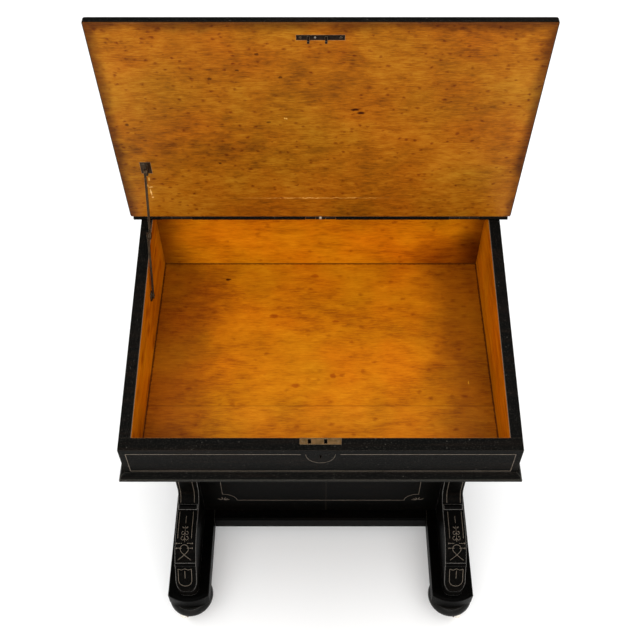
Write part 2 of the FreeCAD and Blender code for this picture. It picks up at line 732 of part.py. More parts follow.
def bracket_plate_box():
    """Size and lowest corner of the stay bracket's plate in the lid's axes."""
    size = ("bracket_width", "lid_lining", "bracket_length")
    outer = "stay_lid_x - 2 * stay_arm - bracket_inset"
    return size, (outer, "-lid_face", "stay_reach - bracket_length / 2")


def link_plate():
    """Dark plate on the lid with two eyed hooks that drop into the lock."""
    hooks, eyes = [], []
    for side, offset in (("left", "-left_hook_offset"), ("right", "right_hook_offset")):
        hooks.append(block(
            f"{side}_hook",
            ("hook_width", "hook_drop", "hook_length"),
            (f"{offset} - hook_width / 2", "-lid_face - hook_drop", "hook_reach - hook_length / 2"),
            origin="0",
        ))
        eyes.append(block(
            f"{side}_hook_eye",
            ("hook_width + 2 * overrun", "hook_eye", "hook_eye"),
            (f"{offset} - hook_width / 2 - overrun", "-lid_face - hook_eye_drop - hook_eye / 2",
             "hook_reach - hook_eye / 2"),
            origin="0",
        ))
    plate = block("link_plate_blank", *link_plate_box(), origin="0")
    hooked = joined("link_plate_hooks", [plate, *hooks])
    keep("lid_link_plate", hang_on_lid(cut("link_plate_cut", hooked, eyes)))


def lock():
    """Till lock let into the front board: hollow case, brass top plate and sliding bolt."""
    skin = "lock_wall / cos(slope_angle)"
    lock_front = "(front_board - lock_thickness)"
    front_rim = f"(rim_height + {lock_front} * tan(slope_angle))"
    case_corners = (
        (lock_front, "inner_rim - lock_drop"),
        ("front_board", "inner_rim - lock_drop"),
        ("front_board", f"inner_rim - {skin}"),
        (lock_front, f"{front_rim} - {skin}"),
    )
    plate_corners = (
        (lock_front, f"{front_rim} - {skin}"),
        ("front_board", f"inner_rim - {skin}"),
        ("front_board", "inner_rim"),
        (lock_front, front_rim),
    )
    hollow = block(
        "lock_hollow",
        ("lock_width - 2 * lock_wall", "lock_thickness - 2 * lock_wall", "lock_drop"),
        ("lock_wall - lock_width / 2", f"{lock_front} + lock_wall", "bolt_base - bolt_seat"),
    )
    blank = place(padded("lock_case_blank", "YZ_Plane", case_corners, "lock_width"), "-lock_width / 2")
    keep("lock_case", cut("lock_case_cut", blank, [hollow, *keyhole("lock")]))

    plate = place(padded("lock_plate_blank", "YZ_Plane", plate_corners, "lock_width"), "-lock_width / 2")
    socket_front = "(hook_setback + hook_drop * sin(slope_angle) / 2 - socket_length / 2)"
    places = (("left", "-left_hook_offset"), ("right", "right_hook_offset"))
    sockets = [
        block(
            f"{side}_socket",
            ("socket_width", "socket_length", "lock_drop"),
            (f"{offset} - socket_width / 2", socket_front, "inner_rim - lock_drop / 2"),
        )
        for side, offset in places
    ]
    keep("lock_plate", cut("lock_plate_cut", plate, sockets))

    pieces = [block(
        "bolt_bar",
        ("left_hook_offset + right_hook_offset + bolt_prong_reach + bolt_riser", "bolt_bar_thickness",
         "bolt_bar_height"),
        ("-left_hook_offset - socket_width / 2 - bolt_standoff - bolt_prong_reach - bolt_riser",
         "eye_setback - bolt_bar_thickness / 2", "bolt_base"),
    )]
    for side, offset in places:
        prong_end = f"({offset} - socket_width / 2 - bolt_standoff)"
        pieces.append(block(
            f"{side}_bolt_riser",
            ("bolt_riser", "bolt_prong", "eye_height + bolt_prong / 2 - bolt_base"),
            (f"{prong_end} - bolt_prong_reach - bolt_riser", "eye_setback - bolt_prong / 2", "bolt_base"),
        ))
        pieces.append(block(
            f"{side}_bolt_prong",
            ("bolt_prong_reach + bolt_riser", "bolt_prong", "bolt_prong"),
            (f"{prong_end} - bolt_prong_reach - bolt_riser", "eye_setback - bolt_prong / 2",
             "eye_height - bolt_prong / 2"),
        ))
    keep("lock_bolt", joined("bolt_pieces", pieces))


def stay():
    """Folding stay: wall plate and its pin, two arms that meet side by side, and the lid's bracket."""
    wall = "(side_board - half_case)"
    lower_x = f"({wall} + stay_plate + stay_gap)"
    upper_x = f"({lower_x} + stay_arm + stay_gap)"
    pivot = ("stay_wall_setback", "stay_wall_height")
    disc = rod("stay_wall_disc", "stay_plate_radius", "stay_plate", (wall, *pivot), "x")
    pin = rod("stay_wall_pin", "stay_pin_radius", "stay_plate + stay_gap + stay_arm", (wall, *pivot), "x")
    keep("stay_wall_plate", joined("stay_wall_set", [disc, pin]))

    out = "(lid_face + stay_standoff)"
    lid_setback = f"(hinge_setback - {out} * cos(lid_lean) - stay_reach * sin(lid_lean))"
    lid_height = f"(hinge_height - {out} * sin(lid_lean) + stay_reach * cos(lid_lean))"
    run = f"({lid_setback} - stay_wall_setback)"
    rise = f"({lid_height} - stay_wall_height)"
    length = f"(hypot({run}; {rise}) / 2)"
    stay_arm("stay_lower_arm", length, lower_x, pivot, f"atan2(-{run}; {rise})")
    stay_arm("stay_upper_arm", length, upper_x, (lid_setback, lid_height), f"atan2({run}; -{rise})")

    lug_x = f"({upper_x} + stay_arm + stay_gap)"
    plate = block("bracket_plate", *bracket_plate_box(), origin="0")
    lug = block(
        "bracket_lug",
        ("stay_lug", "stay_standoff + lid_lining", "2 * stay_lug_radius"),
        (lug_x, f"-{out}", "stay_reach - stay_lug_radius"),
        origin="0",
    )
    lug_end = rod(
        "bracket_lug_end", "stay_lug_radius", "stay_lug", (lug_x, f"-{out}", "stay_reach"), "x", origin="0"
    )
    lug_pin = rod(
        "bracket_pin",
        "stay_pin_radius",
        "stay_lug + stay_gap + stay_arm",
        (upper_x, f"-{out}", "stay_reach"),
        "x",
        origin="0",
    )
    keep("stay_lid_bracket", hang_on_lid(joined("bracket_set", [plate, lug, lug_end, lug_pin])))


def stay_arm(node, length, x, pivot, angle):
    """One flat arm with a pivot eye at its own origin and a broader elbow eye at its other end."""
    bar = block(
        node + "_bar", ("stay_arm", "stay_width", length), ("0", "-stay_width / 2", "0"), origin="0"
    )
    eye = rod(node + "_eye", "stay_eye", "stay_arm", ("0", "0", "0"), "x", origin="0")
    elbow = rod(node + "_elbow", "stay_elbow", "stay_arm", ("0", "0", length), "x", origin="0")
    bore = rod(
        node + "_bore",
        "stay_pin_radius + pin_clearance",
        "stay_arm + 2 * overrun",
        ("-overrun", "0", "0"),
        "x",
        origin="0",
    )
    arm = cut(node + "_cut", joined(node + "_blank", [bar, eye, elbow]), [bore])
    turn(arm, (1, 0, 0), measure(angle))
    arm.setExpression("Placement.Rotation.Angle", bound(angle))
    keep(node, place(arm, x, *pivot))


def drawer_levels():
    """Height and floor of each drawer opening, from the top down."""
    boards = len(DRAWER_SHARES) - 1
    free = f"(case_base - plinth_top - {boards} * dust_board)"
    levels = []
    used_share = 0
    for number, share in enumerate(DRAWER_SHARES):
        used_share += share
        levels.append((f"({share} * {free})", f"(case_base - {used_share} * {free} - {number} * dust_board)"))
    return levels


def pedestal():
    """Carcase of the pedestal, with dummy drawers on the left and dust boards between the drawers."""
    tall = "case_base - plinth_top"
    inside = "pedestal_depth - 2 * panel_board"
    for node, setback in (("pedestal_front_panel", "panel_setback"), ("pedestal_back_panel", "panel_back")):
        keep(node, block(
            node + "_blank",
            ("pedestal_width", "panel_board", tall),
            ("-half_pedestal", setback, "plinth_top"),
        ))
    keep("pedestal_left_panel", block(
        "left_panel_blank",
        ("left_panel", inside, tall),
        ("dummy_board - half_pedestal", "panel_setback + panel_board", "plinth_top"),
    ))
    dust_boards, dummies, dummy_knobs = [], [], []
    for number, (opening, level) in enumerate(drawer_levels()):
        dummies.append(block(
            f"dummy_front_{number}",
            ("dummy_board", f"{inside} - 2 * drawer_gap", f"{opening} - 2 * drawer_gap"),
            ("-half_pedestal", "panel_setback + panel_board + drawer_gap", f"{level} + drawer_gap"),
        ))
        dummy_knobs += knob_pair(f"dummy_knob_{number}", "-half_pedestal", f"{level} + {opening} / 2", -90)
        if number:
            dust_boards.append(block(
                f"dust_board_{number}",
                ("pedestal_width - dummy_board - left_panel - dust_inset", inside, "dust_board"),
                ("dummy_board + left_panel - half_pedestal", "panel_setback + panel_board",
                 f"{level} + {opening}"),
            ))
    keep("dummy_drawer_fronts", grouped("dummy_front_set", dummies))
    keep("dummy_drawer_knobs", grouped("dummy_knob_set", dummy_knobs))
    keep("dust_boards", grouped("dust_board_set", dust_boards))


def knob_pair(name, x, z, degrees):
    """Two turned knobs that stand out of a drawer front to the right (90) or left (-90)."""
    radii = [f"({share} * knob_radius)" for share in KNOB_RADIUS_SHARES]
    heights = [f"({share} * knob_reach)" for share in KNOB_HEIGHT_SHARES]
    corners = (
        ("0", "0"),
        (radii[0], "0"),
        (radii[1], heights[1], "knob_reach", 1),
        (radii[2], heights[2]),
        (radii[3], heights[3], "knob_radius", 1),
        ("0", heights[3]),
    )
    knobs = []
    for side in ("-", "+"):
        knob = turn(turned(f"{name}_{len(knobs)}", corners), (0, 1, 0), degrees)
        knobs.append(place(knob, x, f"panel_setback + pedestal_depth / 2 {side} knob_spread", z))
    return knobs


def drawers():
    """Four graduated drawers that run out to the right."""
    inside = "(pedestal_depth - 2 * panel_board)"
    box_left = "(dummy_board + left_panel + drawer_stop - half_pedestal)"
    box_length = f"(half_pedestal - drawer_front - {box_left})"
    near = "(panel_setback + panel_board + drawer_gap)"
    for number, (opening, level) in enumerate(drawer_levels(), start=1):
        name = f"drawer_{number}"
        base = f"({level} + drawer_float)"
        keep(name + "_front", block(
            name + "_front_blank",
            ("drawer_front", f"{inside} - 2 * drawer_gap", f"{opening} - drawer_float - drawer_gap"),
            ("half_pedestal - drawer_front", near, base),
        ))
        box_height = f"({opening} - drawer_float - drawer_headroom)"
        shell = block(
            name + "_shell",
            (box_length, f"{inside} - 2 * drawer_gap", box_height),
            (box_left, near, base),
        )
        hollow = block(
            name + "_hollow",
            (f"{box_length} - drawer_wall + overrun", f"{inside} - 2 * drawer_gap - 2 * drawer_wall",
             box_height),
            (f"{box_left} + drawer_wall", f"{near} + drawer_wall", f"{base} + drawer_bottom"),
        )
        keep(name + "_box", cut(name + "_box_cut", shell, [hollow]))
        knobs = knob_pair(name + "_knob", "half_pedestal", f"{level} + {opening} / 2", 90)
        keep(name + "_knobs", grouped(name + "_knob_set", knobs))


def base_frame():
    """Plinth between two sled feet, and the scroll supports that stand on the feet."""
    between_feet = "(foot_spacing - foot_width)"
    plinth = (
        (f"-{between_feet} / 2", "plinth_setback"),
        (f"{between_feet} / 2", "plinth_setback"),
        (f"{between_feet} / 2", "plinth_back"),
        (f"-{between_feet} / 2", "plinth_back"),
    )
    body = padded("plinth_blank", "XY_Plane", plinth, "plinth_board")
    rounded_edge(body, (0, -1, 1), "plinth_round")
    keep("plinth_platform", place(body, "0", "0", "plinth_top - plinth_board"))

    nose_radius = "((foot_width * foot_width / 4 + foot_nose * foot_nose) / (2 * foot_nose))"
    foot = (
        ("-foot_width / 2", "foot_setback"),
        ("foot_width / 2", "foot_setback", nose_radius, 1),
        ("foot_width / 2", "foot_back"),
        ("-foot_width / 2", "foot_back"),
    )
    support = support_profile()
    round_start = "support_toe + toe_round"
    tongue = (
        ("-support_width / 2", round_start),
        ("toe_round - support_width / 2", "support_toe", "toe_round", 1),
        ("support_width / 2 - toe_round", "support_toe"),
        ("support_width / 2", round_start, "toe_round", 1),
        ("support_width / 2", "panel_setback"),
        ("-support_width / 2", "panel_setback"),
    )
    for side, sign in (("left", "-"), ("right", "")):
        body = rounded(padded(f"{side}_foot_blank", "XY_Plane", foot, "foot_board"), (0, 0, 1), "foot_round")
        keep(f"{side}_sled_foot", place(body, f"{sign}foot_spacing / 2", "0", "plinth_top - foot_board"))
        x = f"({sign}foot_spacing / 2 - support_width / 2)"
        sawn = place(padded(f"{side}_support_board", "YZ_Plane", support, "support_width"), x)
        plan = place(
            padded(f"{side}_support_plan", "XY_Plane", tongue, "case_base"), f"{sign}foot_spacing / 2"
        )
        board = doc.addObject("Part::Common", f"{side}_support_tongue")
        board.Base = sawn
        board.Tool = plan
        roll = rod(
            f"{side}_support_roll",
            "roll_radius",
            "support_width - 2 * roll_inset",
            (f"{x} + roll_inset", "panel_setback - waist_proud - waist_radius", "waist_foot"),
            "x",
        )
        bar = rod(
            f"{side}_support_bar",
            "bar_radius",
            "support_width",
            (x, "support_toe + shin_run", "knee_foot"),
            "x",
        )
        keep(f"{side}_scroll_support", joined(f"{side}_support_set", [board, roll, bar]))


def support_profile():
    """Side of a scroll support: toe, shin, rounded knee, hollow waist and a sweep forward to the case."""
    waist = "(panel_setback - waist_proud)"
    upright_foot = "(waist_foot + waist_radius)"
    upright_top = f"({upright_foot} + waist_length)"
    sweep_run = f"({waist} - crown_setback)"
    sweep_rise = f"(case_base - {upright_top})"
    sweep = f"(({sweep_run} * {sweep_run} + {sweep_rise} * {sweep_rise}) / (2 * {sweep_run}))"
    return (
        ("panel_setback", "plinth_top"),
        ("panel_setback", "case_base"),
        ("crown_setback", "case_base"),
        (waist, upright_top, sweep, -1),
        (waist, upright_foot),
        (f"{waist} - waist_radius", "waist_foot", "waist_radius", -1),
        ("support_toe + shin_run + knee_run", "waist_foot"),
        ("support_toe + shin_run", "knee_foot", "knee_radius", 1),
        ("support_toe", "plinth_top + toe_height"),
        ("support_toe", "plinth_top"),
    )


def bun_feet():
    """Four turned buns under the sled feet, each with the fixed plate and pin of its castor."""
    radii = [f"({share} * bun_width / 2)" for share in BUN_RADIUS_SHARES]
    heights = [f"({share} * bun_height)" for share in BUN_HEIGHT_SHARES]
    profile = (
        ("0", "0"),
        (radii[0], "0"),
        (radii[1], heights[1], "bun_width / 2", 1),
        (radii[2], heights[2], "bun_height / 2", 1),
        ("0", heights[2]),
    )
    buns, sockets = [], []
    for corner, x, setback, degrees in corners_of_base():
        buns.append(place(turned(f"bun_{corner}", profile), x, setback, "bun_base"))
        plate_base = "(bun_base - castor_plate)"
        pin_length = "(castor_plate + castor_gap + castor_boss)"
        pin_base = f"(bun_base - {pin_length})"
        plate = rod(
            f"castor_plate_{corner}", "castor_plate_radius", "castor_plate", (x, setback, plate_base), "z"
        )
        pin = rod(f"castor_pin_{corner}", "castor_pin_radius", pin_length, (x, setback, pin_base), "z")
        sockets.append(joined(f"castor_socket_{corner}", [plate, pin]))
        castor(corner, x, setback, degrees)
    keep("bun_feet", grouped("bun_set", buns))
    keep("castor_sockets", grouped("castor_socket_set", sockets))


def corners_of_base():
    """Name, place and rest turn of the castor at each corner."""
    return (
        ("front_left", "-foot_spacing / 2", "bun_setback", "-castor_turn"),
        ("front_right", "foot_spacing / 2", "bun_setback", "castor_turn"),
        ("rear_left", "-foot_spacing / 2", "rear_bun_setback", "castor_turn - 180"),
        ("rear_right", "foot_spacing / 2", "rear_bun_setback", "180 - castor_turn"),
    )


def castor(corner, x, setback, degrees):
    """Swivelling fork with its riveted axle, and the porcelain wheel on it."""
    boss_top = "(bun_base - castor_plate - castor_gap)"
    boss_base = f"({boss_top} - castor_boss)"
    arm_inside = "(wheel_width / 2 + wheel_side_gap)"
    lead = f"({FORK_LEAD_SHARE} * castor_boss_radius)"
    arm_corners = (
        (lead, boss_base),
        (lead, boss_top),
        ("-castor_boss_radius", boss_top),
        ("-castor_trail - fork_eye", "wheel_radius + fork_eye"),
        ("-castor_trail - fork_eye", "wheel_radius - fork_eye"),
        ("fork_eye - castor_trail", "wheel_radius - fork_eye"),
    )
    arms = []
    for side, start in (("left", f"-{arm_inside} - fork_arm"), ("right", arm_inside)):
        arm = padded(f"fork_arm_{side}_{corner}", "YZ_Plane", arm_corners, "fork_arm")
        arms.append(place(arm, start, origin="0"))
    boss = rod(
        f"fork_boss_{corner}", "castor_boss_radius", "castor_boss", ("0", "0", boss_base), "z", origin="0"
    )
    axle = rod(
        f"fork_axle_{corner}",
        "axle_radius",
        f"2 * ({arm_inside} + fork_arm)",
        (f"-{arm_inside} - fork_arm", "-castor_trail", "wheel_radius"),
        "x",
        origin="0",
    )
    bore = rod(
        f"fork_bore_{corner}",
        "castor_pin_radius + pin_clearance",
        "castor_boss + 2 * overrun",
        ("0", "0", f"{boss_base} - overrun"),
        "z",
        origin="0",
    )
    fork = cut(f"fork_{corner}", joined(f"fork_blank_{corner}", [boss, axle, *arms]), [bore])
    spin_about_post(fork, x, setback, degrees)
    keep(f"castor_fork_{corner}", fork)

    bore_radius = "(axle_radius + pin_clearance)"
    radii = [f"({share} * wheel_radius)" for share in WHEEL_RADIUS_SHARES]
    heights = [f"({share} * wheel_width)" for share in WHEEL_HEIGHT_SHARES]
    profile = (
        (bore_radius, "0"),
        (radii[0], "0"),
        (radii[1], heights[1], "wheel_radius", 1),
        (radii[2], heights[2]),
        (radii[3], heights[3], "wheel_radius", 1),
        (bore_radius, heights[3]),
    )
    blank = turn(turned(f"wheel_blank_{corner}", profile), (0, 1, 0), 90)
    place(blank, "-wheel_width / 2", "-castor_trail", "wheel_radius", origin="0")
    wheel = grouped(f"wheel_{corner}", [blank])
    spin_about_post(wheel, x, setback, degrees)
    keep(f"castor_wheel_{corner}", wheel)


def spin_about_post(piece, x, setback, degrees):
    """Turns a castor piece about its swivel pin and sets it under its bun."""
    turn(piece, (0, 0, 1), measure(degrees))
    piece.setExpression("Placement.Rotation.Angle", bound(degrees))
    place(piece, x, setback)


def check_document():
    """Stops before anything is written if a feature failed or a sub-part has no sound solid."""
    failed = [item.Name for item in doc.Objects if "Invalid" in item.State or "Error" in item.State]
    unsound = [
        node for node, piece in nodes.items()
        if piece.Shape.isNull() or not piece.Shape.isValid() or not piece.Shape.Solids
    ]
    if failed or unsound:
        raise RuntimeError(f"failed features {failed}, unsound sub-parts {unsound}")


def write_parts():
    """Writes each sub-part to a file with its own name."""
    os.makedirs("parts", exist_ok=True)
    for node, piece in nodes.items():
        piece.Shape.exportStep(f"parts/{node}.step")
    print(len(nodes), "sub-parts written")


fill_sheet()
writing_box()
top_shelf()
hinges()
lid()
lock()
stay()
pedestal()
drawers()
base_frame()
bun_feet()
doc.recompute()
check_document()
write_parts()
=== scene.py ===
import json
import math
from collections import namedtuple

import bmesh
import bpy
from mathutils import Matrix, Vector


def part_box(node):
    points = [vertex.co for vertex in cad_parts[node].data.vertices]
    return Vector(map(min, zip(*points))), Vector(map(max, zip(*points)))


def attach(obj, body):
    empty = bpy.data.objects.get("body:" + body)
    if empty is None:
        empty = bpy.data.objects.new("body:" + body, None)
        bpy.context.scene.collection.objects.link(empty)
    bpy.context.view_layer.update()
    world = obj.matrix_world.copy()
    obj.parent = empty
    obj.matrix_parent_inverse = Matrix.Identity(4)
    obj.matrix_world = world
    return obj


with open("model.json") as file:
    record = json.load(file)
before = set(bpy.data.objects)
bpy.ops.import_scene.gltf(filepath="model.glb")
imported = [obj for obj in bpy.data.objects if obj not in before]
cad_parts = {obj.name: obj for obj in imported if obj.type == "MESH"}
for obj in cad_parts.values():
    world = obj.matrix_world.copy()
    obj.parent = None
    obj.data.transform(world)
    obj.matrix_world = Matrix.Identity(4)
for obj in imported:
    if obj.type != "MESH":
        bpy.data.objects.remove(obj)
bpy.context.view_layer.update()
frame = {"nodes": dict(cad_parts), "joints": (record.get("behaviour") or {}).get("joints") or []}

bl_info = {
    "name": "Davenport desk",
    "version": (1, 0, 0),
    "blender": (4, 5, 0),
    "location": "3D View > Sidebar > Desk",
    "description": "Finishes, gilt lines, screws and stage of an ebonised davenport desk",
    "category": "Object",
}

MM = 0.001
X, Y, Z = range(3)
UP = Vector((0, 0, 1))
FORWARD = Vector((0, -1, 0))
RIGHT = Vector((1, 0, 0))
SIDES = (-1, 1)
DRAWERS = range(1, 5)
CASTORS = ("front_left", "front_right", "rear_left", "rear_right")

# Places on the desk, read from the solids
FRONT_LOW, FRONT_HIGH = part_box("case_front_board")
SIDE_LOW, SIDE_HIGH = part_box("case_right_side")
BACK_LOW, BACK_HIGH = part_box("well_back_wall")
SHELF_LOW, SHELF_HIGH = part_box("top_shelf")
SUPPORT_LOW, SUPPORT_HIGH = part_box("right_scroll_support")
FRONT_FACE = FRONT_LOW.y
PANEL_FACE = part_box("pedestal_front_panel")[0].y
HINGE = next(joint["pos_m"] for joint in frame["joints"] if joint["name"] == "lid_hinge")

# The rim of the writing box slopes, and the open lid leans back. The lid's inner face, and what is
# screwed to it, are placed from the hinge in the lid's own axes.
RIM_SLOPE = math.radians(10)
LID_LEAN = math.radians(3)
LID = Matrix.Translation(HINGE) @ Matrix.Rotation(LID_LEAN, 4, "X")
LID_FACE = -2.945 * MM
LINK_UP = 388.46 * MM
BRACKET_UP = 127 * MM

# Front of a scroll support in mm, walked from the top of its toe, which is given behind the front
# board's face and above the floor. Each run has its length and its radius, 0 where it is straight.
TOE = (8.5, 125.0)
SHIN_BACK, SHIN_UP = 33.5, 51.0
SHIN = math.hypot(SHIN_BACK, SHIN_UP)
SHIN_HEADING = math.atan2(SHIN_UP, SHIN_BACK)
KNEE_RADIUS = 75.0
LEDGE = 41.0
HOLLOW_RADIUS = 25.0
NECK = 55.0
SWEEP_RADIUS = 594.8
SUPPORT_RUNS = (
    (SHIN, 0.0),
    (KNEE_RADIUS * SHIN_HEADING, -KNEE_RADIUS),
    (LEDGE, 0.0),
    (HOLLOW_RADIUS * math.pi / 2, HOLLOW_RADIUS),
    (NECK, 0.0),
    (math.inf, SWEEP_RADIUS),
)

# Screws: their heads, and where they sit on what they hold
HEAD_DEPTH = 0.8 * MM
SLOT_DEPTH = 0.45 * MM
FLUSH = 0.06 * MM
HINGE_PITCH = 240 * MM
LEAF_SCREW_PITCH = 17 * MM
LEAF_SCREW_IN = 8 * MM
LOCK_SCREW_OUT = 26 * MM
DISC_SCREW_UP = 6 * MM
DISC_THICK = 2 * MM
BRACKET_SCREW_IN = 5.5 * MM
BRACKET_SCREW_UP = 9 * MM
LINK_SCREW_OUT = 27.5 * MM
LINK_PIN_OUT = 7.5 * MM

# Specular level of the old black polish, which gleams far less than new lacquer
EBONY_GLEAM = 0.011

# What age and use do to a surface, and painted shade: its colour is multiplied by these
# Dirt, and the painted shade towards the edges of the back wall and of the lid's veneer
DIRT_AND_SHADE = (0.34, 0.28, 0.22, 1.0)
# Dust, and painted shade, towards the side walls of the well's floor
DUST_AND_SHADE = (0.51, 0.45, 0.41, 1.0)
KNOT = (0.16, 0.09, 0.12, 1.0)
BARE = (2.1, 3.3, 22.0, 1.0)
EYE = (0.5, 0.3, 0.2, 1.0)
STAIN = (0.7, 0.52, 0.4, 1.0)
# Painted shade in the right corner of the well's back wall
SHADE = (0.5, 0.4, 0.3, 1.0)
OLIVE = (0.9, 1.0, 0.95, 1.0)
RUDDY = (1.04, 0.92, 0.85, 1.0)
PALE_BOARD = (1.06, 1.08, 2.0, 1.0)
GLAZE_STAIN = (0.6, 0.5, 0.38, 1.0)

# Grain of a wood: the axis that it runs along, the length and width of its fibres and of its
# mottle, the spacing of its eyes, and the draws of chance from which an eye shows and is full
Grain = namedtuple("Grain", "along fibre_mm mottle_mm eye_mm eye_draw", defaults=((0.2, 0.95),))
FLOOR_GRAIN = Grain(X, (20, 1.4), (40, 15), 12, (0.55, 1.2))
BACK_GRAIN = Grain(X, (20, 1.4), (44, 14), 12, (0.55, 1.2))
SIDE_GRAIN = Grain(Y, (40, 1.6), (90, 12), 34)
FRONT_GRAIN = SIDE_GRAIN._replace(along=X)
LID_GRAIN = Grain(X, (16, 1.3), (26, 11), 8)
DRAWER_GRAIN = Grain(X, (60, 1.8), (150, 14), 80)

# A board's stretch along an axis, with how far the painted shade of its edges reaches in
Span = namedtuple("Span", "axis middle half reach")
# Thin line where two boards meet, with its tint and the tint of the board on its near side
Joint = namedtuple("Joint", "axis place half line_tint near_tint")

# Marks in mm: the two numbers of their middle, and how far they reach both ways. On the floor of
# the well these are across and back, on the lid's veneer across and up. A mark also goes into the
# board, on the lid far enough to take in its lean.
FLOOR_MARK_DEPTH = 3
FLOOR_KNOTS = ((-164.3, 131.5, 6, 3.2),)
FLOOR_STAINS = (
    (-41.3, -89.8, 9, 5), (-10, 139.5, 9, 5), (-80.7, 51.2, 9, 6), (20.5, -70.9, 6, 6),
    (26, 40, 8, 3))
FLOOR_SCARS = ((243, -84, 1.2, 5),)
LID_MARK_DEPTH = 40
LID_KNOTS = ((50.5, 1046, 8, 3.4), (59, 1039.5, 7.3, 3.4), (-156.4, 930.9, 3, 2.6))
LID_DIRT = (
    (-87.6, 1151.6, 4, 3), (-116.4, 1122, 4, 2.4), (-155.9, 1106.7, 4, 2.6),
    (-56.3, 1108.8, 4, 2.4), (-77, 1020.2, 5, 2.2), (-287.3, 1014.6, 4.4, 3.4))
LID_SCARS = (
    # Where the folding stay has rubbed
    (-274.6, 904, 1.8, 6), (-272.1, 893.1, 2, 6), (-277, 878, 1.6, 5), (-272.6, 873.4, 5, 1.6),
    (-273.4, 861, 1.7, 12), (-272, 848.1, 3, 2),
    # Two specks, and a long fine scratch above the hinges
    (-53, 1027.9, 2, 2.2), (-50.2, 1027.5, 1.2, 1.8), (-8, 846.5, 165, 1.1))


def linear(code):
    """Linear colour with full cover from an sRGB hex value."""
    parts = [int(code[place:place + 2], 16) / 255 for place in (1, 3, 5)]
    return (*(part / 12.92 if part <= 0.04045 else ((part + 0.055) / 1.055) ** 2.4
              for part in parts), 1.0)


def add(tree, kind, inputs=(), stops=(), **settings):
    """Adds one node. Inputs map a socket to a value, to an output of another node, or to a node,
    which then gives its first output in use. Stops fill a colour ramp.

    Sockets go by name, or by number where names repeat. A colour Mix has its share at 0 and its
    colours at 6 and 7. A Map Range has its value at 0, the range that it reads at 1 and 2, and the
    range that it gives at 3 and 4.
    """
    made = tree.nodes.new(kind)
    for name, value in settings.items():
        setattr(made, name, value)
    for key, value in dict(inputs).items():
        if isinstance(value, bpy.types.Node):
            value = next(output for output in value.outputs if output.enabled)
        if isinstance(value, bpy.types.NodeSocket):
            tree.links.new(value, made.inputs[key])
        else:
            made.inputs[key].default_value = value
    for index, (place, colour) in enumerate(stops):
        elements = made.color_ramp.elements
        stop = elements[index] if index < 2 else elements.new(place)
        stop.position = place
        stop.color = colour
    return made


def scale_for(size_mm):
    """Texture scale that gives a pattern this size in mm."""
    return 1 / (size_mm * MM)


def scales_for(*sizes_mm):
    """Mapping scale that gives a pattern these sizes in mm along X, Y and Z."""
    return tuple(scale_for(size) for size in sizes_mm)


# What all colour properties share
COLOUR = {"subtype": "COLOR", "size": 4, "min": 0, "max": 1}


class DeskFinishes(bpy.types.PropertyGroup):
    """Colours of the desk's finishes."""

    ebony: bpy.props.FloatVectorProperty(
        name="Ebonised black", description="Stained and polished outside of the desk",
        default=linear("#070706"), **COLOUR)
    ebony_streak: bpy.props.FloatVectorProperty(
        name="Brown streaks", description="Streaks where the mahogany shows",
        default=linear("#1c140f"), **COLOUR)
    ebony_worn: bpy.props.FloatVectorProperty(
        name="Rubbed black", description="Edges where the stain is rubbed",
        default=linear("#3a332c"), **COLOUR)
    # Painted highlight: the pale tone along the edges of the supports and turned work
    ebony_lit: bpy.props.FloatVectorProperty(
        name="Polished edge", description="Edges of supports and turned work, where they gleam",
        default=linear("#b5b1ab"), **COLOUR)
    # Dimmer painted highlight: the tone along the edges of the moulding, plinth and sled feet
    ebony_dim_lit: bpy.props.FloatVectorProperty(
        name="Moulded edge", description="Edges of the moulding, plinth and sled feet",
        default=linear("#59564f"), **COLOUR)
    well_dark: bpy.props.FloatVectorProperty(
        name="Well, dark grain", description="Dark grain of the writing well",
        default=linear("#7f3c03"), **COLOUR)
    well_mid: bpy.props.FloatVectorProperty(
        name="Well, ground", description="Ground colour of the writing well",
        default=linear("#b06503"), **COLOUR)
    well_light: bpy.props.FloatVectorProperty(
        name="Well, light grain", description="Light grain of the writing well",
        default=linear("#c67c0a"), **COLOUR)
    maple_dark: bpy.props.FloatVectorProperty(
        name="Maple, dark figure", description="Dark figure of the lid's veneer",
        default=linear("#5c3005"), **COLOUR)
    maple_mid: bpy.props.FloatVectorProperty(
        name="Maple, ground", description="Ground colour of the lid's veneer",
        default=linear("#955507"), **COLOUR)
    maple_light: bpy.props.FloatVectorProperty(
        name="Maple, light figure", description="Light figure of the lid's veneer",
        default=linear("#b07419"), **COLOUR)
    gilt: bpy.props.FloatVectorProperty(
        name="Gilt", description="Incised gilt lines", default=linear("#72675d"), **COLOUR)
    brass: bpy.props.FloatVectorProperty(
        name="Brass", description="Lock plate, castors and the screws of the case",
        default=linear("#60482c"), **COLOUR)
    bronze: bpy.props.FloatVectorProperty(
        name="Bronzed brass", description="Folding stay and the screws of the lid",
        default=linear("#40301f"), **COLOUR)
    iron: bpy.props.FloatVectorProperty(
        name="Dark iron", description="Hinges, link plate, lock case and bolt",
        default=linear("#231a13"), **COLOUR)


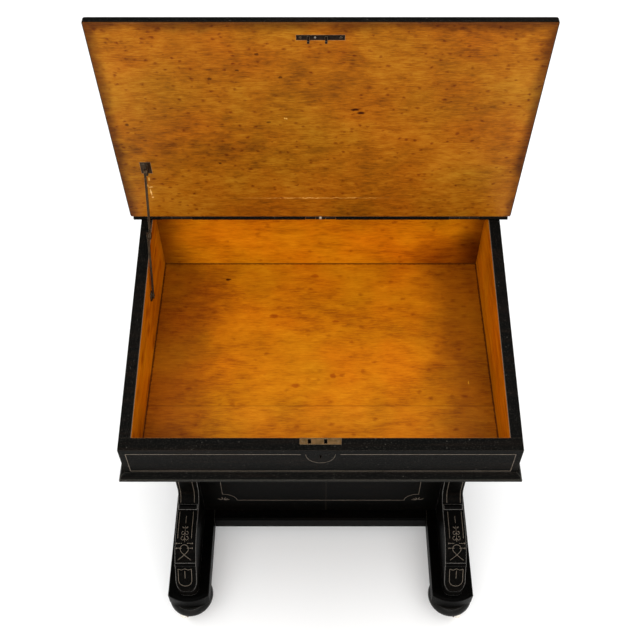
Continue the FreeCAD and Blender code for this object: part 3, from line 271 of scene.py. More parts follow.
class DeskGilding(bpy.types.PropertyGroup):
    """Sizes of the gilt lines."""

    line_width: bpy.props.FloatProperty(
        name="Line width", description="Width of an incised gilt line", unit="LENGTH",
        default=0.75 * MM)
    line_rise: bpy.props.FloatProperty(
        name="Line height", description="Thickness of the gilding, half of it let in",
        unit="LENGTH", default=0.5 * MM)
    front_inset: bpy.props.FloatProperty(
        name="Front inset", description="Line of the front board in from its ends", unit="LENGTH",
        default=10 * MM)
    front_top: bpy.props.FloatProperty(
        name="Front line below the rim", description="Upper line below the front rim",
        unit="LENGTH", default=12.5 * MM)
    front_drop: bpy.props.FloatProperty(
        name="Front line height", description="Upper line to lower line on the front",
        unit="LENGTH", default=53 * MM)
    lock_gap: bpy.props.FloatProperty(
        name="Gap at the lock", description="Half the gap in the upper line at the lock",
        unit="LENGTH", default=29.5 * MM)
    panel_half: bpy.props.FloatProperty(
        name="Panel line", description="Upright line of the panel from the middle", unit="LENGTH",
        default=200 * MM)
    panel_base: bpy.props.FloatProperty(
        name="Panel line above the floor", description="Lower line of the panel", unit="LENGTH",
        default=150 * MM)
    panel_top: bpy.props.FloatProperty(
        name="Panel line top", description="Upper line of the panel", unit="LENGTH",
        default=592 * MM)
    panel_corner: bpy.props.FloatProperty(
        name="Panel corner", description="Incurved corners of the panel line", unit="LENGTH",
        default=28 * MM)
    support_half: bpy.props.FloatProperty(
        name="Support line", description="Lines of a support from its middle", unit="LENGTH",
        default=13.4 * MM)
    drawer_inset: bpy.props.FloatProperty(
        name="Drawer line", description="Line of a drawer front in from its edges", unit="LENGTH",
        default=12 * MM)


class DeskStage(bpy.types.PropertyGroup):
    """Camera, floor and lights."""

    lens: bpy.props.FloatProperty(
        name="Lens", description="Focal length in mm on a 36 mm sensor", default=53.8)
    tilt: bpy.props.FloatProperty(
        name="Tilt", description="Camera below the horizon", subtype="ANGLE",
        default=math.radians(51.04))
    camera_back: bpy.props.FloatProperty(
        name="Camera distance", description="Camera in front of the desk's middle", unit="LENGTH",
        default=0.92155)
    camera_height: bpy.props.FloatProperty(
        name="Camera height", description="Camera above the floor", unit="LENGTH", default=1.98775)
    shift: bpy.props.FloatProperty(
        name="Shift", description="Upward shift of the view as a share of its width",
        default=-0.0861)
    floor: bpy.props.FloatVectorProperty(
        name="Floor", description="Pale floor", default=linear("#ffffff"), **COLOUR)
    sky: bpy.props.FloatProperty(
        name="Surround", description="Strength of the pale surround", default=0.75)
    key: bpy.props.FloatProperty(
        name="Key light", description="Power of the large light above", subtype="POWER",
        default=140)
    fill: bpy.props.FloatProperty(
        name="Fill light", description="Power of the light in front", subtype="POWER",
        default=45)


def shade_toward_edges(tree, place, spans, ragged_mm):
    """Share from 0 to 1 that grows towards the edges of a board, with a ragged border: painted shade.
    """
    axes = add(tree, "ShaderNodeSeparateXYZ", {0: place})
    stray = add(tree, "ShaderNodeTexNoise", {
        "Vector": place, "Scale": scale_for(55), "Detail": 5.0, "Roughness": 0.6})
    ragged = add(tree, "ShaderNodeMath", {
        0: stray, 1: 2 * ragged_mm * MM, 2: -ragged_mm * MM}, operation="MULTIPLY_ADD")
    most = 0.0
    for span in spans:
        off = add(tree, "ShaderNodeMath", {
            0: axes.outputs[span.axis], 1: span.middle}, operation="SUBTRACT")
        size = add(tree, "ShaderNodeMath", {0: off}, operation="ABSOLUTE")
        far = add(tree, "ShaderNodeMath", {0: size, 1: ragged}, operation="ADD")
        near = add(tree, "ShaderNodeMapRange", {
            0: far, 1: span.half - span.reach, 2: span.half, 3: 0.0, 4: 1.0},
            interpolation_type="SMOOTHSTEP")
        most = add(tree, "ShaderNodeMath", {0: near, 1: most}, operation="MAXIMUM")
    return most


def strayed(tree, place, size_mm, shift_mm):
    """Coordinates shifted to and fro, so that a pattern drawn on them wanders."""
    drift = add(tree, "ShaderNodeTexNoise", {
        "Vector": place, "Scale": scale_for(size_mm), "Detail": 3.0, "Roughness": 0.5})
    sway = add(tree, "ShaderNodeVectorMath", {
        0: drift.outputs["Color"], 1: (0.5, 0.5, 0.5)}, operation="SUBTRACT")
    bent = add(tree, "ShaderNodeVectorMath", {0: sway, "Scale": shift_mm * MM}, operation="SCALE")
    return add(tree, "ShaderNodeVectorMath", {0: place, 1: bent}, operation="ADD")


def marks(tree, place, spots):
    """Share from 0 to 1 in small ragged marks, each with its middle and reach in mm per axis."""
    place = strayed(tree, place, size_mm=5, shift_mm=4)
    most = 0.0
    for middle, reach in spots:
        scale = scales_for(*reach)
        centred = add(tree, "ShaderNodeMapping", {
            "Vector": place, "Scale": scale,
            "Location": tuple(-at * MM * size for at, size in zip(middle, scale))})
        far = add(tree, "ShaderNodeVectorMath", {0: centred}, operation="LENGTH")
        inside = add(tree, "ShaderNodeMapRange", {0: far, 1: 0.55, 2: 1.0, 3: 1.0, 4: 0.0})
        most = add(tree, "ShaderNodeMath", {0: inside, 1: most}, operation="MAXIMUM")
    return most


def rubbed_and_lit_edges(tree, radius_mm):
    """Share from 0 to 1 that is high along the arrises, where hands and cloths rub the finish and
    painted highlights go.
    """
    bevel = add(tree, "ShaderNodeBevel", {"Radius": radius_mm * MM}, samples=6)
    truth = add(tree, "ShaderNodeNewGeometry")
    facing = add(tree, "ShaderNodeVectorMath", {
        0: bevel, 1: truth.outputs["Normal"]}, operation="DOT_PRODUCT")
    return add(tree, "ShaderNodeMapRange", {0: facing, 1: 0.98, 2: 0.8, 3: 0.0, 4: 1.0})


def aged(tree, colour, share, tint):
    """Colour multiplied by a tint where the share is high, as dirt and polish darken wood."""
    return add(tree, "ShaderNodeMix", {
        0: share, 6: colour, 7: tint}, data_type="RGBA", blend_type="MULTIPLY")


def toned(tones, times):
    """Tones of one finish made paler, or deeper where times is below 1."""
    return [(*(times * part for part in tone[:3]), 1.0) for tone in tones]


def ebony_pattern(tree, place, edge_tone=None, edge_mm=1.4, crackle_mm=2.6, times=1.0):
    """Colour, roughness and height of ebonised mahogany, its polish crackled into small scales.

    It gives the eye a deep black, a little brown in streaks along the board, paler along rubbed
    edges, where the lit and dim edge tones lay a painted highlight, with fine grey flecks that are
    painted glints on the crackle, a few pale specks of dust and a dull broken gleam. The flecks and
    specks are drawn coarser than the real glints and dust, so that they show in a render of the
    whole desk.
    """
    finishes = bpy.context.scene.desk_finishes
    black, brown, grey = toned((finishes.ebony, finishes.ebony_streak, linear("#77726a")), times)
    if edge_tone is None:
        edge_tone = finishes.ebony_worn
    streak = add(tree, "ShaderNodeTexNoise", {
        "Vector": add(tree, "ShaderNodeMapping", {"Vector": place, "Scale": scales_for(160, 9, 9)}),
        "Scale": 1.0, "Detail": 5.0, "Roughness": 0.6})
    streaks = add(tree, "ShaderNodeMapRange", {0: streak, 1: 0.48, 2: 0.78, 3: 0.0, 4: 0.5})
    scales = add(tree, "ShaderNodeTexVoronoi", {
        "Vector": place, "Scale": scale_for(crackle_mm)}, feature="DISTANCE_TO_EDGE")
    crack = add(tree, "ShaderNodeMapRange", {0: scales, 1: 0.0, 2: 0.22, 3: 0.0, 4: 1.0})
    # Fine noise for the rubbed edges, the flecks of painted glint, the roughness and the crackle
    dust = add(tree, "ShaderNodeTexNoise", {
        "Vector": place, "Scale": scale_for(1.5), "Detail": 2.0, "Roughness": 0.6})
    ground = add(tree, "ShaderNodeMix", {0: streaks, 6: black, 7: brown}, data_type="RGBA")
    # Edges rubbed pale with the worn tone, and a painted highlight with the lit and dim tones
    rubbed = add(tree, "ShaderNodeMath", {
        0: rubbed_and_lit_edges(tree, edge_mm), 1: dust}, operation="MULTIPLY")
    worn = add(tree, "ShaderNodeMix", {0: rubbed, 6: ground, 7: tuple(edge_tone)}, data_type="RGBA")
    # Fine grey flecks: painted glints on the crackled polish
    fleck = add(tree, "ShaderNodeMapRange", {0: dust, 1: 0.56, 2: 0.72, 3: 0.0, 4: 0.11})
    flecked = add(tree, "ShaderNodeMix", {0: fleck, 6: worn, 7: grey}, data_type="RGBA")
    specks = add(tree, "ShaderNodeTexVoronoi", {"Vector": place, "Scale": scale_for(11)})
    speck = add(tree, "ShaderNodeMapRange", {0: specks, 1: 0.05, 2: 0.075, 3: 0.35, 4: 0.0})
    colour = add(tree, "ShaderNodeMix", {0: speck, 6: flecked, 7: grey}, data_type="RGBA")
    rough = add(tree, "ShaderNodeMapRange", {0: dust, 1: 0.3, 2: 0.7, 3: 0.28, 4: 0.42})
    height = add(tree, "ShaderNodeMath", {0: crack, 1: 0.75, 2: dust}, operation="MULTIPLY_ADD")
    return colour, rough, height


def wood_pattern(tree, place, tones, grain):
    """Colour, roughness and height of a polished wood.

    It gives the eye fine broken fibres, a soft mottle, clouds that lean to olive or red, pale
    rubbed edges and small red-brown eyes. The fibres are drawn about twice as wide as real ones, so
    that they show in a render of the whole desk.
    """
    def lengthwise(long, wide):
        return scales_for(*(long if axis == grain.along else wide for axis in (X, Y, Z)))

    path = strayed(tree, place, size_mm=60, shift_mm=6)
    fibre = add(tree, "ShaderNodeTexNoise", {
        "Vector": add(tree, "ShaderNodeMapping", {
            "Vector": path, "Scale": lengthwise(*grain.fibre_mm)}),
        "Scale": 1.0, "Detail": 6.0, "Roughness": 0.72})
    mottle = add(tree, "ShaderNodeTexNoise", {
        "Vector": add(tree, "ShaderNodeMapping", {
            "Vector": path, "Scale": lengthwise(*grain.mottle_mm)}),
        "Scale": 1.0, "Detail": 4.0, "Roughness": 0.6})
    cloud = add(tree, "ShaderNodeTexNoise", {
        "Vector": place, "Scale": scale_for(130), "Detail": 3.0, "Roughness": 0.5})
    blend = -0.11
    for layer, weight in ((cloud, 0.34), (mottle, 0.34), (fibre, 0.54)):
        blend = add(tree, "ShaderNodeMath", {
            0: layer, 1: weight, 2: blend}, operation="MULTIPLY_ADD")
    tinted = add(tree, "ShaderNodeValToRGB", {0: blend},
                 stops=((0.34, tones[0]), (0.66, tones[2]), (0.5, tones[1])))
    hues = add(tree, "ShaderNodeSeparateXYZ", {0: cloud.outputs["Color"]})
    for channel, tint in ((Y, OLIVE), (Z, RUDDY)):
        lean = add(tree, "ShaderNodeMapRange", {
            0: hues.outputs[channel], 1: 0.42, 2: 0.62, 3: 0.0, 4: 1.0})
        tinted = aged(tree, tinted, lean, tint)
    eyes = add(tree, "ShaderNodeTexVoronoi", {
        "Vector": add(tree, "ShaderNodeMapping", {
            "Vector": strayed(tree, path, size_mm=9, shift_mm=8),
            "Scale": lengthwise(1.5 * grain.eye_mm, grain.eye_mm)}),
        "Scale": 1.0})
    spot = add(tree, "ShaderNodeMapRange", {0: eyes, 1: 0.1, 2: 0.36, 3: 1.0, 4: 0.0})
    chance = add(tree, "ShaderNodeSeparateXYZ", {0: eyes.outputs["Color"]})
    first, full = grain.eye_draw
    shown = add(tree, "ShaderNodeMapRange", {
        0: chance.outputs[X], 1: first, 2: full, 3: 0.0, 4: 1.0})
    eye = add(tree, "ShaderNodeMath", {0: spot, 1: shown}, operation="MULTIPLY")
    eyed = aged(tree, tinted, eye, EYE)
    pale = add(tree, "ShaderNodeMath", {
        0: rubbed_and_lit_edges(tree, 1.6), 1: mottle}, operation="MULTIPLY")
    colour = add(tree, "ShaderNodeMix", {0: pale, 6: eyed, 7: linear("#b98f62")}, data_type="RGBA")
    rough = add(tree, "ShaderNodeMapRange", {0: fibre, 1: 0.3, 2: 0.7, 3: 0.42, 4: 0.58})
    return colour, rough, fibre


def shade(tree, colour, roughness, height, depth_mm, gleam, metallic=0.0):
    """Joins a pattern to one shader, with edges softened as a plane and cloth soften them."""
    soft = add(tree, "ShaderNodeBevel", {"Radius": 1.0 * MM}, samples=4)
    bump = add(tree, "ShaderNodeBump", {
        "Height": height, "Strength": 1.0, "Distance": depth_mm * MM, "Normal": soft})
    shader = add(tree, "ShaderNodeBsdfPrincipled", {
        "Base Color": colour, "Roughness": roughness, "Normal": bump,
        "Specular IOR Level": gleam, "Metallic": metallic})
    add(tree, "ShaderNodeOutputMaterial", {"Surface": shader})


def finish(name):
    """A new empty material, its tree and the object's own coordinates."""
    made = bpy.data.materials.new(name)
    made.use_nodes = True
    made.node_tree.nodes.clear()
    return made, made.node_tree, add(made.node_tree, "ShaderNodeTexCoord").outputs["Object"]


def ebonised_mahogany(name, edge_tone=None, edge_mm=1.4, gleam=EBONY_GLEAM, times=1.0):
    """Black stained and polished mahogany: deep black faces with paler edges."""
    made, tree, place = finish(name)
    # The worn edge tone gives rubbed edges, the lit and dim tones a painted highlight
    shade(tree, *ebony_pattern(tree, place, edge_tone, edge_mm, times=times),
          depth_mm=0.1, gleam=gleam)
    return made


def jointed_panel(name, joint):
    """Ebonised panel glued up from two boards: their joint has opened to a hair of brown."""
    made, tree, place = finish(name)
    # Black deepened to 0.4 of its tone: painted shade under the overhang of the case
    colour, rough, height = ebony_pattern(tree, place, times=0.4)
    axes = add(tree, "ShaderNodeSeparateXYZ", {0: place})
    hair = add(tree, "ShaderNodeMath", {
        0: axes.outputs[X], 1: joint, 2: 0.6 * MM}, operation="COMPARE")
    opened = add(tree, "ShaderNodeMath", {0: hair, 1: height}, operation="MULTIPLY")
    brown, = toned([bpy.context.scene.desk_finishes.ebony_worn], 0.5)
    mixed = add(tree, "ShaderNodeMix", {0: opened, 6: colour, 7: brown}, data_type="RGBA")
    shade(tree, mixed, rough, height, depth_mm=0.1, gleam=EBONY_GLEAM)
    return made


def polished_wood(name, tones, grain, spans=(), ragged_mm=0.0, edge_shade_tint=DIRT_AND_SHADE, spots=(),
                  joint=None):
    """Clear-polished wood: a warm glow with its grain, darker towards its edges in painted shade.

    Spots are marks with a tint of their own.
    """
    made, tree, place = finish(name)
    colour, rough, height = wood_pattern(tree, place, tones, grain)
    if joint:
        axes = add(tree, "ShaderNodeSeparateXYZ", {0: place})
        near = add(tree, "ShaderNodeMath", {
            0: axes.outputs[joint.axis], 1: joint.place}, operation="LESS_THAN")
        colour = aged(tree, colour, near, joint.near_tint)
        line = add(tree, "ShaderNodeMath", {
            0: axes.outputs[joint.axis], 1: joint.place, 2: joint.half}, operation="COMPARE")
        faint = add(tree, "ShaderNodeMath", {0: line, 1: height}, operation="MULTIPLY")
        colour = aged(tree, colour, faint, joint.line_tint)
    if spans:
        colour = aged(tree, colour, shade_toward_edges(tree, place, spans, ragged_mm), edge_shade_tint)
    for tint, places in spots:
        colour = aged(tree, colour, marks(tree, place, places), tint)
    shade(tree, colour, rough, height, depth_mm=0.08, gleam=0.06)
    return made


def part_ebonised(tree, inside, black, clear):
    """Joins an ebonised and a clear-polished pattern: the clear one shows where inside is 1."""
    colour = add(tree, "ShaderNodeMix", {0: inside, 6: black[0], 7: clear[0]}, data_type="RGBA")
    rough = add(tree, "ShaderNodeMix", {0: inside, 2: black[1], 3: clear[1]})
    height = add(tree, "ShaderNodeMix", {0: inside, 2: black[2], 3: clear[2]})
    shade(tree, colour, rough, height, depth_mm=0.15, gleam=EBONY_GLEAM)


def case_board(name, tones, grain):
    """Board that is ebonised outside and on its rim, and clear-polished where it faces the well.

    The rim's inner edge is rubbed to a thin grey line, a painted highlight on its arris.
    """
    made, tree, place = finish(name)
    colour, *relief = ebony_pattern(tree, place, crackle_mm=3.4)
    amber = wood_pattern(tree, place, tones, grain)
    axes = add(tree, "ShaderNodeSeparateXYZ", {0: place})
    reach = add(tree, "ShaderNodeMath", {0: axes.outputs[X]}, operation="ABSOLUTE")
    # The inner faces count as inside, so the well is taken this much larger
    lap = 0.2 * MM
    between = add(tree, "ShaderNodeMath", {0: reach, 1: SIDE_LOW.x + lap}, operation="LESS_THAN")
    middle, half = (FRONT_HIGH.y + BACK_HIGH.y) / 2, (BACK_HIGH.y - FRONT_HIGH.y) / 2
    along_well = add(tree, "ShaderNodeMath", {
        0: axes.outputs[Y], 1: middle, 2: half + lap}, operation="COMPARE")
    inside = add(tree, "ShaderNodeMath", {0: between, 1: along_well}, operation="MULTIPLY")
    # Thin grey line on the rim's inner arris: a painted highlight where the finish is rubbed
    arris = add(tree, "ShaderNodeMath", {
        0: reach, 1: SIDE_LOW.x + 0.7 * MM, 2: 0.6 * MM}, operation="COMPARE")
    rubbed = add(tree, "ShaderNodeMath", {0: arris, 1: along_well}, operation="MULTIPLY")
    edged = add(tree, "ShaderNodeMix", {
        0: rubbed, 6: colour, 7: linear("#4d4238")}, data_type="RGBA")
    part_ebonised(tree, inside, (edged, *relief), amber)
    return made


def drawer_rail(name, tones, face):
    """Dust board: bare wood, its front edge ebonised as a rail between the drawers."""
    made, tree, place = finish(name)
    black = ebony_pattern(tree, place)
    bare = wood_pattern(tree, place, tones, DRAWER_GRAIN)
    axes = add(tree, "ShaderNodeSeparateXYZ", {0: place})
    inside = add(tree, "ShaderNodeMath", {0: axes.outputs[X], 1: face}, operation="LESS_THAN")
    part_ebonised(tree, inside, black, bare)
    return made


def worn_metal(name, colour, dark, cloud_mm, roughness, metallic, spots=()):
    """Old lacquered metal: a dull gleam, darker in tarnished clouds, and bright on its rubbed edges,
    which also serve as a painted highlight.

    Spots are painted glints besides the edges.
    """
    made, tree, place = finish(name)
    tarnish = add(tree, "ShaderNodeTexNoise", {
        "Vector": place, "Scale": scale_for(cloud_mm), "Detail": 4.0, "Roughness": 0.65})
    amount = add(tree, "ShaderNodeMapRange", {0: tarnish, 1: 0.4, 2: 0.68, 3: 0.0, 4: 0.85})
    mixed = add(tree, "ShaderNodeMix", {
        0: amount, 6: tuple(colour), 7: linear(dark)}, data_type="RGBA")
    # Rubbed bright along the edges, also a painted highlight
    bright = add(tree, "ShaderNodeMath", {
        0: rubbed_and_lit_edges(tree, 0.6), 1: tarnish}, operation="MULTIPLY")
    # Spots: painted glints
    if spots:
        bright = add(tree, "ShaderNodeMath", {
            0: bright, 1: marks(tree, place, spots)}, operation="MAXIMUM")
    rubbed = add(tree, "ShaderNodeMix", {
        0: bright, 6: mixed, 7: linear("#b3a48c")}, data_type="RGBA")
    rough = add(tree, "ShaderNodeMapRange", {
        0: tarnish, 1: 0.3, 2: 0.7, 3: roughness, 4: roughness + 0.18})
    shade(tree, rubbed, rough, tarnish, depth_mm=0.05, gleam=0.35, metallic=metallic)
    return made


def gilding():
    """Gilt size rubbed into an incised line: a dull grey gold, broken where it has worn."""
    return bpy.data.materials.get("rubbed_gilding") or worn_metal(
        "rubbed_gilding", bpy.context.scene.desk_finishes.gilt, "#3a3128", cloud_mm=14,
        roughness=0.5, metallic=0.4)


def glazed_porcelain(name):
    """White porcelain: a bright wet gleam over a faint cream mottle, stained brown on its edges."""
    made, tree, place = finish(name)
    mottle = add(tree, "ShaderNodeTexNoise", {
        "Vector": place, "Scale": scale_for(7), "Detail": 3.0, "Roughness": 0.5})
    glaze = add(tree, "ShaderNodeValToRGB", {0: mottle},
                stops=((0.3, linear("#d9d0c0")), (0.7, linear("#f3efe6"))))
    colour = aged(tree, glaze, rubbed_and_lit_edges(tree, 0.8), GLAZE_STAIN)
    rough = add(tree, "ShaderNodeMapRange", {0: mottle, 1: 0.3, 2: 0.7, 3: 0.12, 4: 0.22})
    shade(tree, colour, rough, mottle, depth_mm=0.02, gleam=0.5)
    return made


def writing_leather(name):
    """Black skiver: a fine pebbled grain with a soft sheen, brown where it is rubbed."""
    made, tree, place = finish(name)
    pebble = add(tree, "ShaderNodeTexVoronoi", {"Vector": place, "Scale": scale_for(1.1)})
    wear = add(tree, "ShaderNodeTexNoise", {
        "Vector": place, "Scale": scale_for(60), "Detail": 4.0, "Roughness": 0.6})
    hide = add(tree, "ShaderNodeValToRGB", {0: wear},
               stops=((0.35, linear("#12100e")), (0.75, linear("#2c241c"))))
    colour = add(tree, "ShaderNodeMix", {
        0: rubbed_and_lit_edges(tree, 1.2), 6: hide, 7: linear("#5a4632")}, data_type="RGBA")
    rough = add(tree, "ShaderNodeMapRange", {0: wear, 1: 0.3, 2: 0.7, 3: 0.45, 4: 0.62})
    shade(tree, colour, rough, pebble, depth_mm=0.12, gleam=0.12)
    return made


def pale_floor(tone):
    """Painted studio floor: a matt white, very slightly clouded."""
    made, tree, place = finish("pale_floor")
    cloud = add(tree, "ShaderNodeTexNoise", {
        "Vector": place, "Scale": scale_for(400), "Detail": 2.0})
    paint = add(tree, "ShaderNodeMix", {
        0: cloud, 6: tuple(tone), 7: linear("#fcfcfb")}, data_type="RGBA")
    shader = add(tree, "ShaderNodeBsdfPrincipled", {"Base Color": paint, "Roughness": 0.9})
    add(tree, "ShaderNodeOutputMaterial", {"Surface": shader})
    return made


def dress(material, *nodes):
    """Gives CAD nodes one finish."""
    for node in nodes:
        for slot in frame["nodes"][node].material_slots:
            slot.material = material


def in_scene(name, data):
    """A new object in the scene."""
    made = bpy.data.objects.new(name, data)
    bpy.context.scene.collection.objects.link(made)
    return made


def mesh_of(name, bm):
    """Mesh of a finished bmesh, which is freed.

    Extruding and spinning leave the faces in any order. They are put in the order of their
    vertices, so that each run gives the same mesh.
    """
    bm.verts.index_update()
    ordered = sorted(bm.faces, key=lambda face: sorted(vert.index for vert in face.verts))
    for place, face in enumerate(ordered):
        face.index = place
    bm.faces.sort()
    mesh = bpy.data.meshes.new(name)
    bm.to_mesh(mesh)
    bm.free()
    return mesh


def new_piece(name, bm, material, body, support_middle=None):
    """Turns a finished bmesh into a piece that rides on a body.

    A flat drawing for a scroll support is first bent to its front.
    """
    bmesh.ops.recalc_face_normals(bm, faces=bm.faces[:])
    if support_middle is not None:
        lay_on_support(bm, support_middle)
    piece = in_scene(name, mesh_of(name, bm))
    piece.data.materials.append(material)
    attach(piece, body)


def join_in(bm, part):
    """Adds a finished part to a larger bmesh."""
    mesh = mesh_of("part", part)
    bm.from_mesh(mesh)
    bpy.data.meshes.remove(mesh)


def push_out(bm, faces, way):
    """Extrudes faces and moves the new ones."""
    made = bmesh.ops.extrude_face_region(bm, geom=faces)
    moved = [item for item in made["geom"] if isinstance(item, bmesh.types.BMVert)]
    bmesh.ops.translate(bm, verts=moved, vec=way)


def touching(verts, kind):
    """Edges or faces that touch the vertices, each once."""
    return list(dict.fromkeys(item for vert in verts for item in getattr(vert, kind)))


def axes_at(along, out):
    """Turn whose X runs along and whose Z looks out of a face."""
    return Matrix((along, out.cross(along), out)).transposed().to_4x4()


def bar(bm, start, end, width, rise, out, cuts=0):
    """Straight line of gilding on a face, half let in, with cuts where it has to bend later."""
    length = (end - start).length
    way = (end - start).normalized()
    place = Matrix.Translation((start + end) / 2) @ axes_at(way, out)
    made = bmesh.ops.create_cube(
        bm, size=1, matrix=place @ Matrix.Diagonal((length, width, rise, 1)))
    if cuts:
        long_edges = [edge for edge in touching(made["verts"], "link_edges")
                      if abs((edge.verts[1].co - edge.verts[0].co).normalized().dot(way)) > 0.99]
        bmesh.ops.subdivide_edges(bm, edges=long_edges, cuts=cuts, use_grid_fill=True)


def bent_bar(bm, centre, start, out, angle, width, rise, steps):
    """Line of gilding bent round a centre: its small section is spun about the outward way."""
    across = (start - centre).normalized()
    place = Matrix.Translation(start) @ axes_at(across, across.cross(out))
    section = bmesh.ops.create_grid(
        bm, x_segments=1, y_segments=1, size=0.5,
        matrix=place @ Matrix.Diagonal((width, rise, 1, 1)))["verts"]
    geom = section + touching(section, "link_edges") + touching(section, "link_faces")
    bmesh.ops.spin(
        bm, geom=geom, cent=centre, axis=out, dvec=(0, 0, 0), angle=angle, steps=steps,
        use_merge=False, use_normal_flip=False, use_duplicate=False)


def leaf(bm, centre, length, width, rise, out, along, angle=0.0):
    """Small leaf of gilding, half let into a face, turned from the along direction."""
    place = Matrix.Translation(centre - out * rise / 2) @ axes_at(along, out)
    turned = place @ Matrix.Rotation(angle, 4, "Z")
    made = bmesh.ops.create_circle(
        bm, cap_ends=True, segments=10, radius=0.5,
        matrix=turned @ Matrix.Diagonal((length, width, 1, 1)))
    push_out(bm, touching(made["verts"], "link_faces"), out * rise)


def box_line(bm, corners, out, sizes):
    """Closed line of straight bars through the corners of a face."""
    for start, end in zip(corners, corners[1:] + corners[:1]):
        reach = (end - start).normalized() * sizes.line_width / 2
        bar(bm, start - reach, end + reach, sizes.line_width, sizes.line_rise, out)


def forward_lines(bm, face, ends, sizes):
    """Straight lines on a face that looks forward, each between two places across and up."""
    for (x0, z0), (x1, z1) in ends:
        bar(bm, Vector((x0, face, z0)), Vector((x1, face, z1)),
            sizes.line_width, sizes.line_rise, FORWARD)


def front_line(bm, drawer, x, out, sizes):
    """Border line at the height of a drawer's front, on a face that looks right or left."""
    low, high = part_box(f"drawer_{drawer}_front")
    inset = sizes.drawer_inset
    box_line(bm, [Vector((x, y, z)) for y, z in (
        (low.y + inset, low.z + inset), (high.y - inset, low.z + inset),
        (high.y - inset, high.z - inset), (low.y + inset, high.z - inset))], out, sizes)


def slotted_screw(bm, centre, out, along, radius, proud=HEAD_DEPTH / 2):
    """Low screw head with a sunk slot, standing a little proud of its face."""
    head = bmesh.new()
    bmesh.ops.create_cone(
        head, cap_ends=True, segments=20, radius1=radius, radius2=radius * 0.88, depth=HEAD_DEPTH)
    slot = radius * 0.14
    for side in (-slot, slot):
        bmesh.ops.bisect_plane(head, geom=head.verts[:] + head.edges[:] + head.faces[:],
                               plane_co=(0, side, 0), plane_no=(0, 1, 0))
    floor = [face for face in head.faces
             if face.normal.z > 0.9 and abs(face.calc_center_median().y) < slot]
    push_out(head, floor, -UP * SLOT_DEPTH)
    bmesh.ops.delete(head, geom=[face for face in floor if face.is_valid], context="FACES_ONLY")
    place = Matrix.Translation(centre + out * (proud - HEAD_DEPTH / 2)) @ axes_at(along, out)
    bmesh.ops.transform(head, matrix=place, verts=head.verts[:])
    join_in(bm, head)


def support_point(length):
    """Place and heading on a support's front, a length in mm above the foot of its knee."""
    y, z = TOE
    heading = SHIN_HEADING
    left = length + SHIN
    for run, radius in SUPPORT_RUNS:
        step = min(run, left)
        if radius:
            turned = heading + step / radius
            y += radius * (math.sin(turned) - math.sin(heading))
            z -= radius * (math.cos(turned) - math.cos(heading))
            heading = turned
        else:
            y += step * math.cos(heading)
            z += step * math.sin(heading)
        left -= step
        if left <= 0:
            break
    return y, z, heading


def lay_on_support(bm, middle):
    """Bends a flat drawing (across, up the front, out) round the front of a support."""
    for vert in bm.verts:
        across, length, out = vert.co
        y, z, heading = support_point(length / MM)
        vert.co = (
            middle + across,
            FRONT_FACE + y * MM - math.sin(heading) * out,
            z * MM + math.cos(heading) * out,
        )


def draw_support(bm, sizes):
    """Flat drawing of a support's gilding, in mm across and up from the foot of its knee."""
    width, rise = sizes.line_width, sizes.line_rise

    def at(x, up):
        return Vector((x * MM, up * MM, 0))

    def stroke(*points, share=1.0):
        for first, last in zip(points, points[1:]):
            start, end = at(*first), at(*last)
            bar(bm, start, end, share * width, rise, UP, int((end - start).length / (4 * MM)))

    def bend(centre, start, degrees, share, steps):
        bent_bar(bm, centre, start, UP, math.radians(degrees), share * width, rise, steps)

    def petal(centre, length, wide, degrees=0):
        leaf(bm, centre, length * MM, wide * MM, rise, UP, RIGHT, math.radians(degrees))

    half = sizes.support_half / MM
    for x in (-half, half):
        stroke((x, 124), (x, 560))
        stroke((x, 52), (x, 106))
    stroke((0, 82), (0, 97))
    # Sprig: a stem with two pairs of curls and a pair of leaves
    stroke((0, 45), (0, 76), share=0.7)
    for up, size in ((52, 3.3), (62, 2.9)):
        for way in SIDES:
            curl = at(way * (size + 0.6), up)
            bend(curl, curl - at(way * size, 0), way * 235, 0.8, 12)
            petal(curl + at(way * 0.8, size), 2.6, 1.7)
    for way in SIDES:
        petal(at(way * 3.6, 73), 5, 2, way * 35)
    # Belt: two rows of dashes that stop at the ribbon, with a bead at each end
    for up in (33.5, 42.5):
        for way in SIDES:
            for x in (6.2, 9.2, 12.2):
                petal(at(way * x, up), 2.2, 1.2)
            petal(at(way * 15.4, up), 2.6, 2.6)
    # Ribbon: two tails that cross and close in a loop
    loop = at(0, 32)
    bend(loop, loop + Matrix.Rotation(math.radians(-45), 3, "Z") @ at(8, 0), 270, 0.9, 20)
    for way in SIDES:
        stroke((way * 13, 10), (0, 20.5), (way * -5.7, 26.3), share=0.9)
    # Tongue
    tongue, foot = 13.0, -35.5
    for x in (-tongue, tongue):
        stroke((x, -10), (x, foot))
    stroke((-tongue, -10), (-6, -12), (0, -9), (6, -12), (tongue, -10), share=0.8)
    bend(at(0, foot), at(-tongue, foot), 180, 1.0, 20)
    stroke((0, -14), (0, -31))


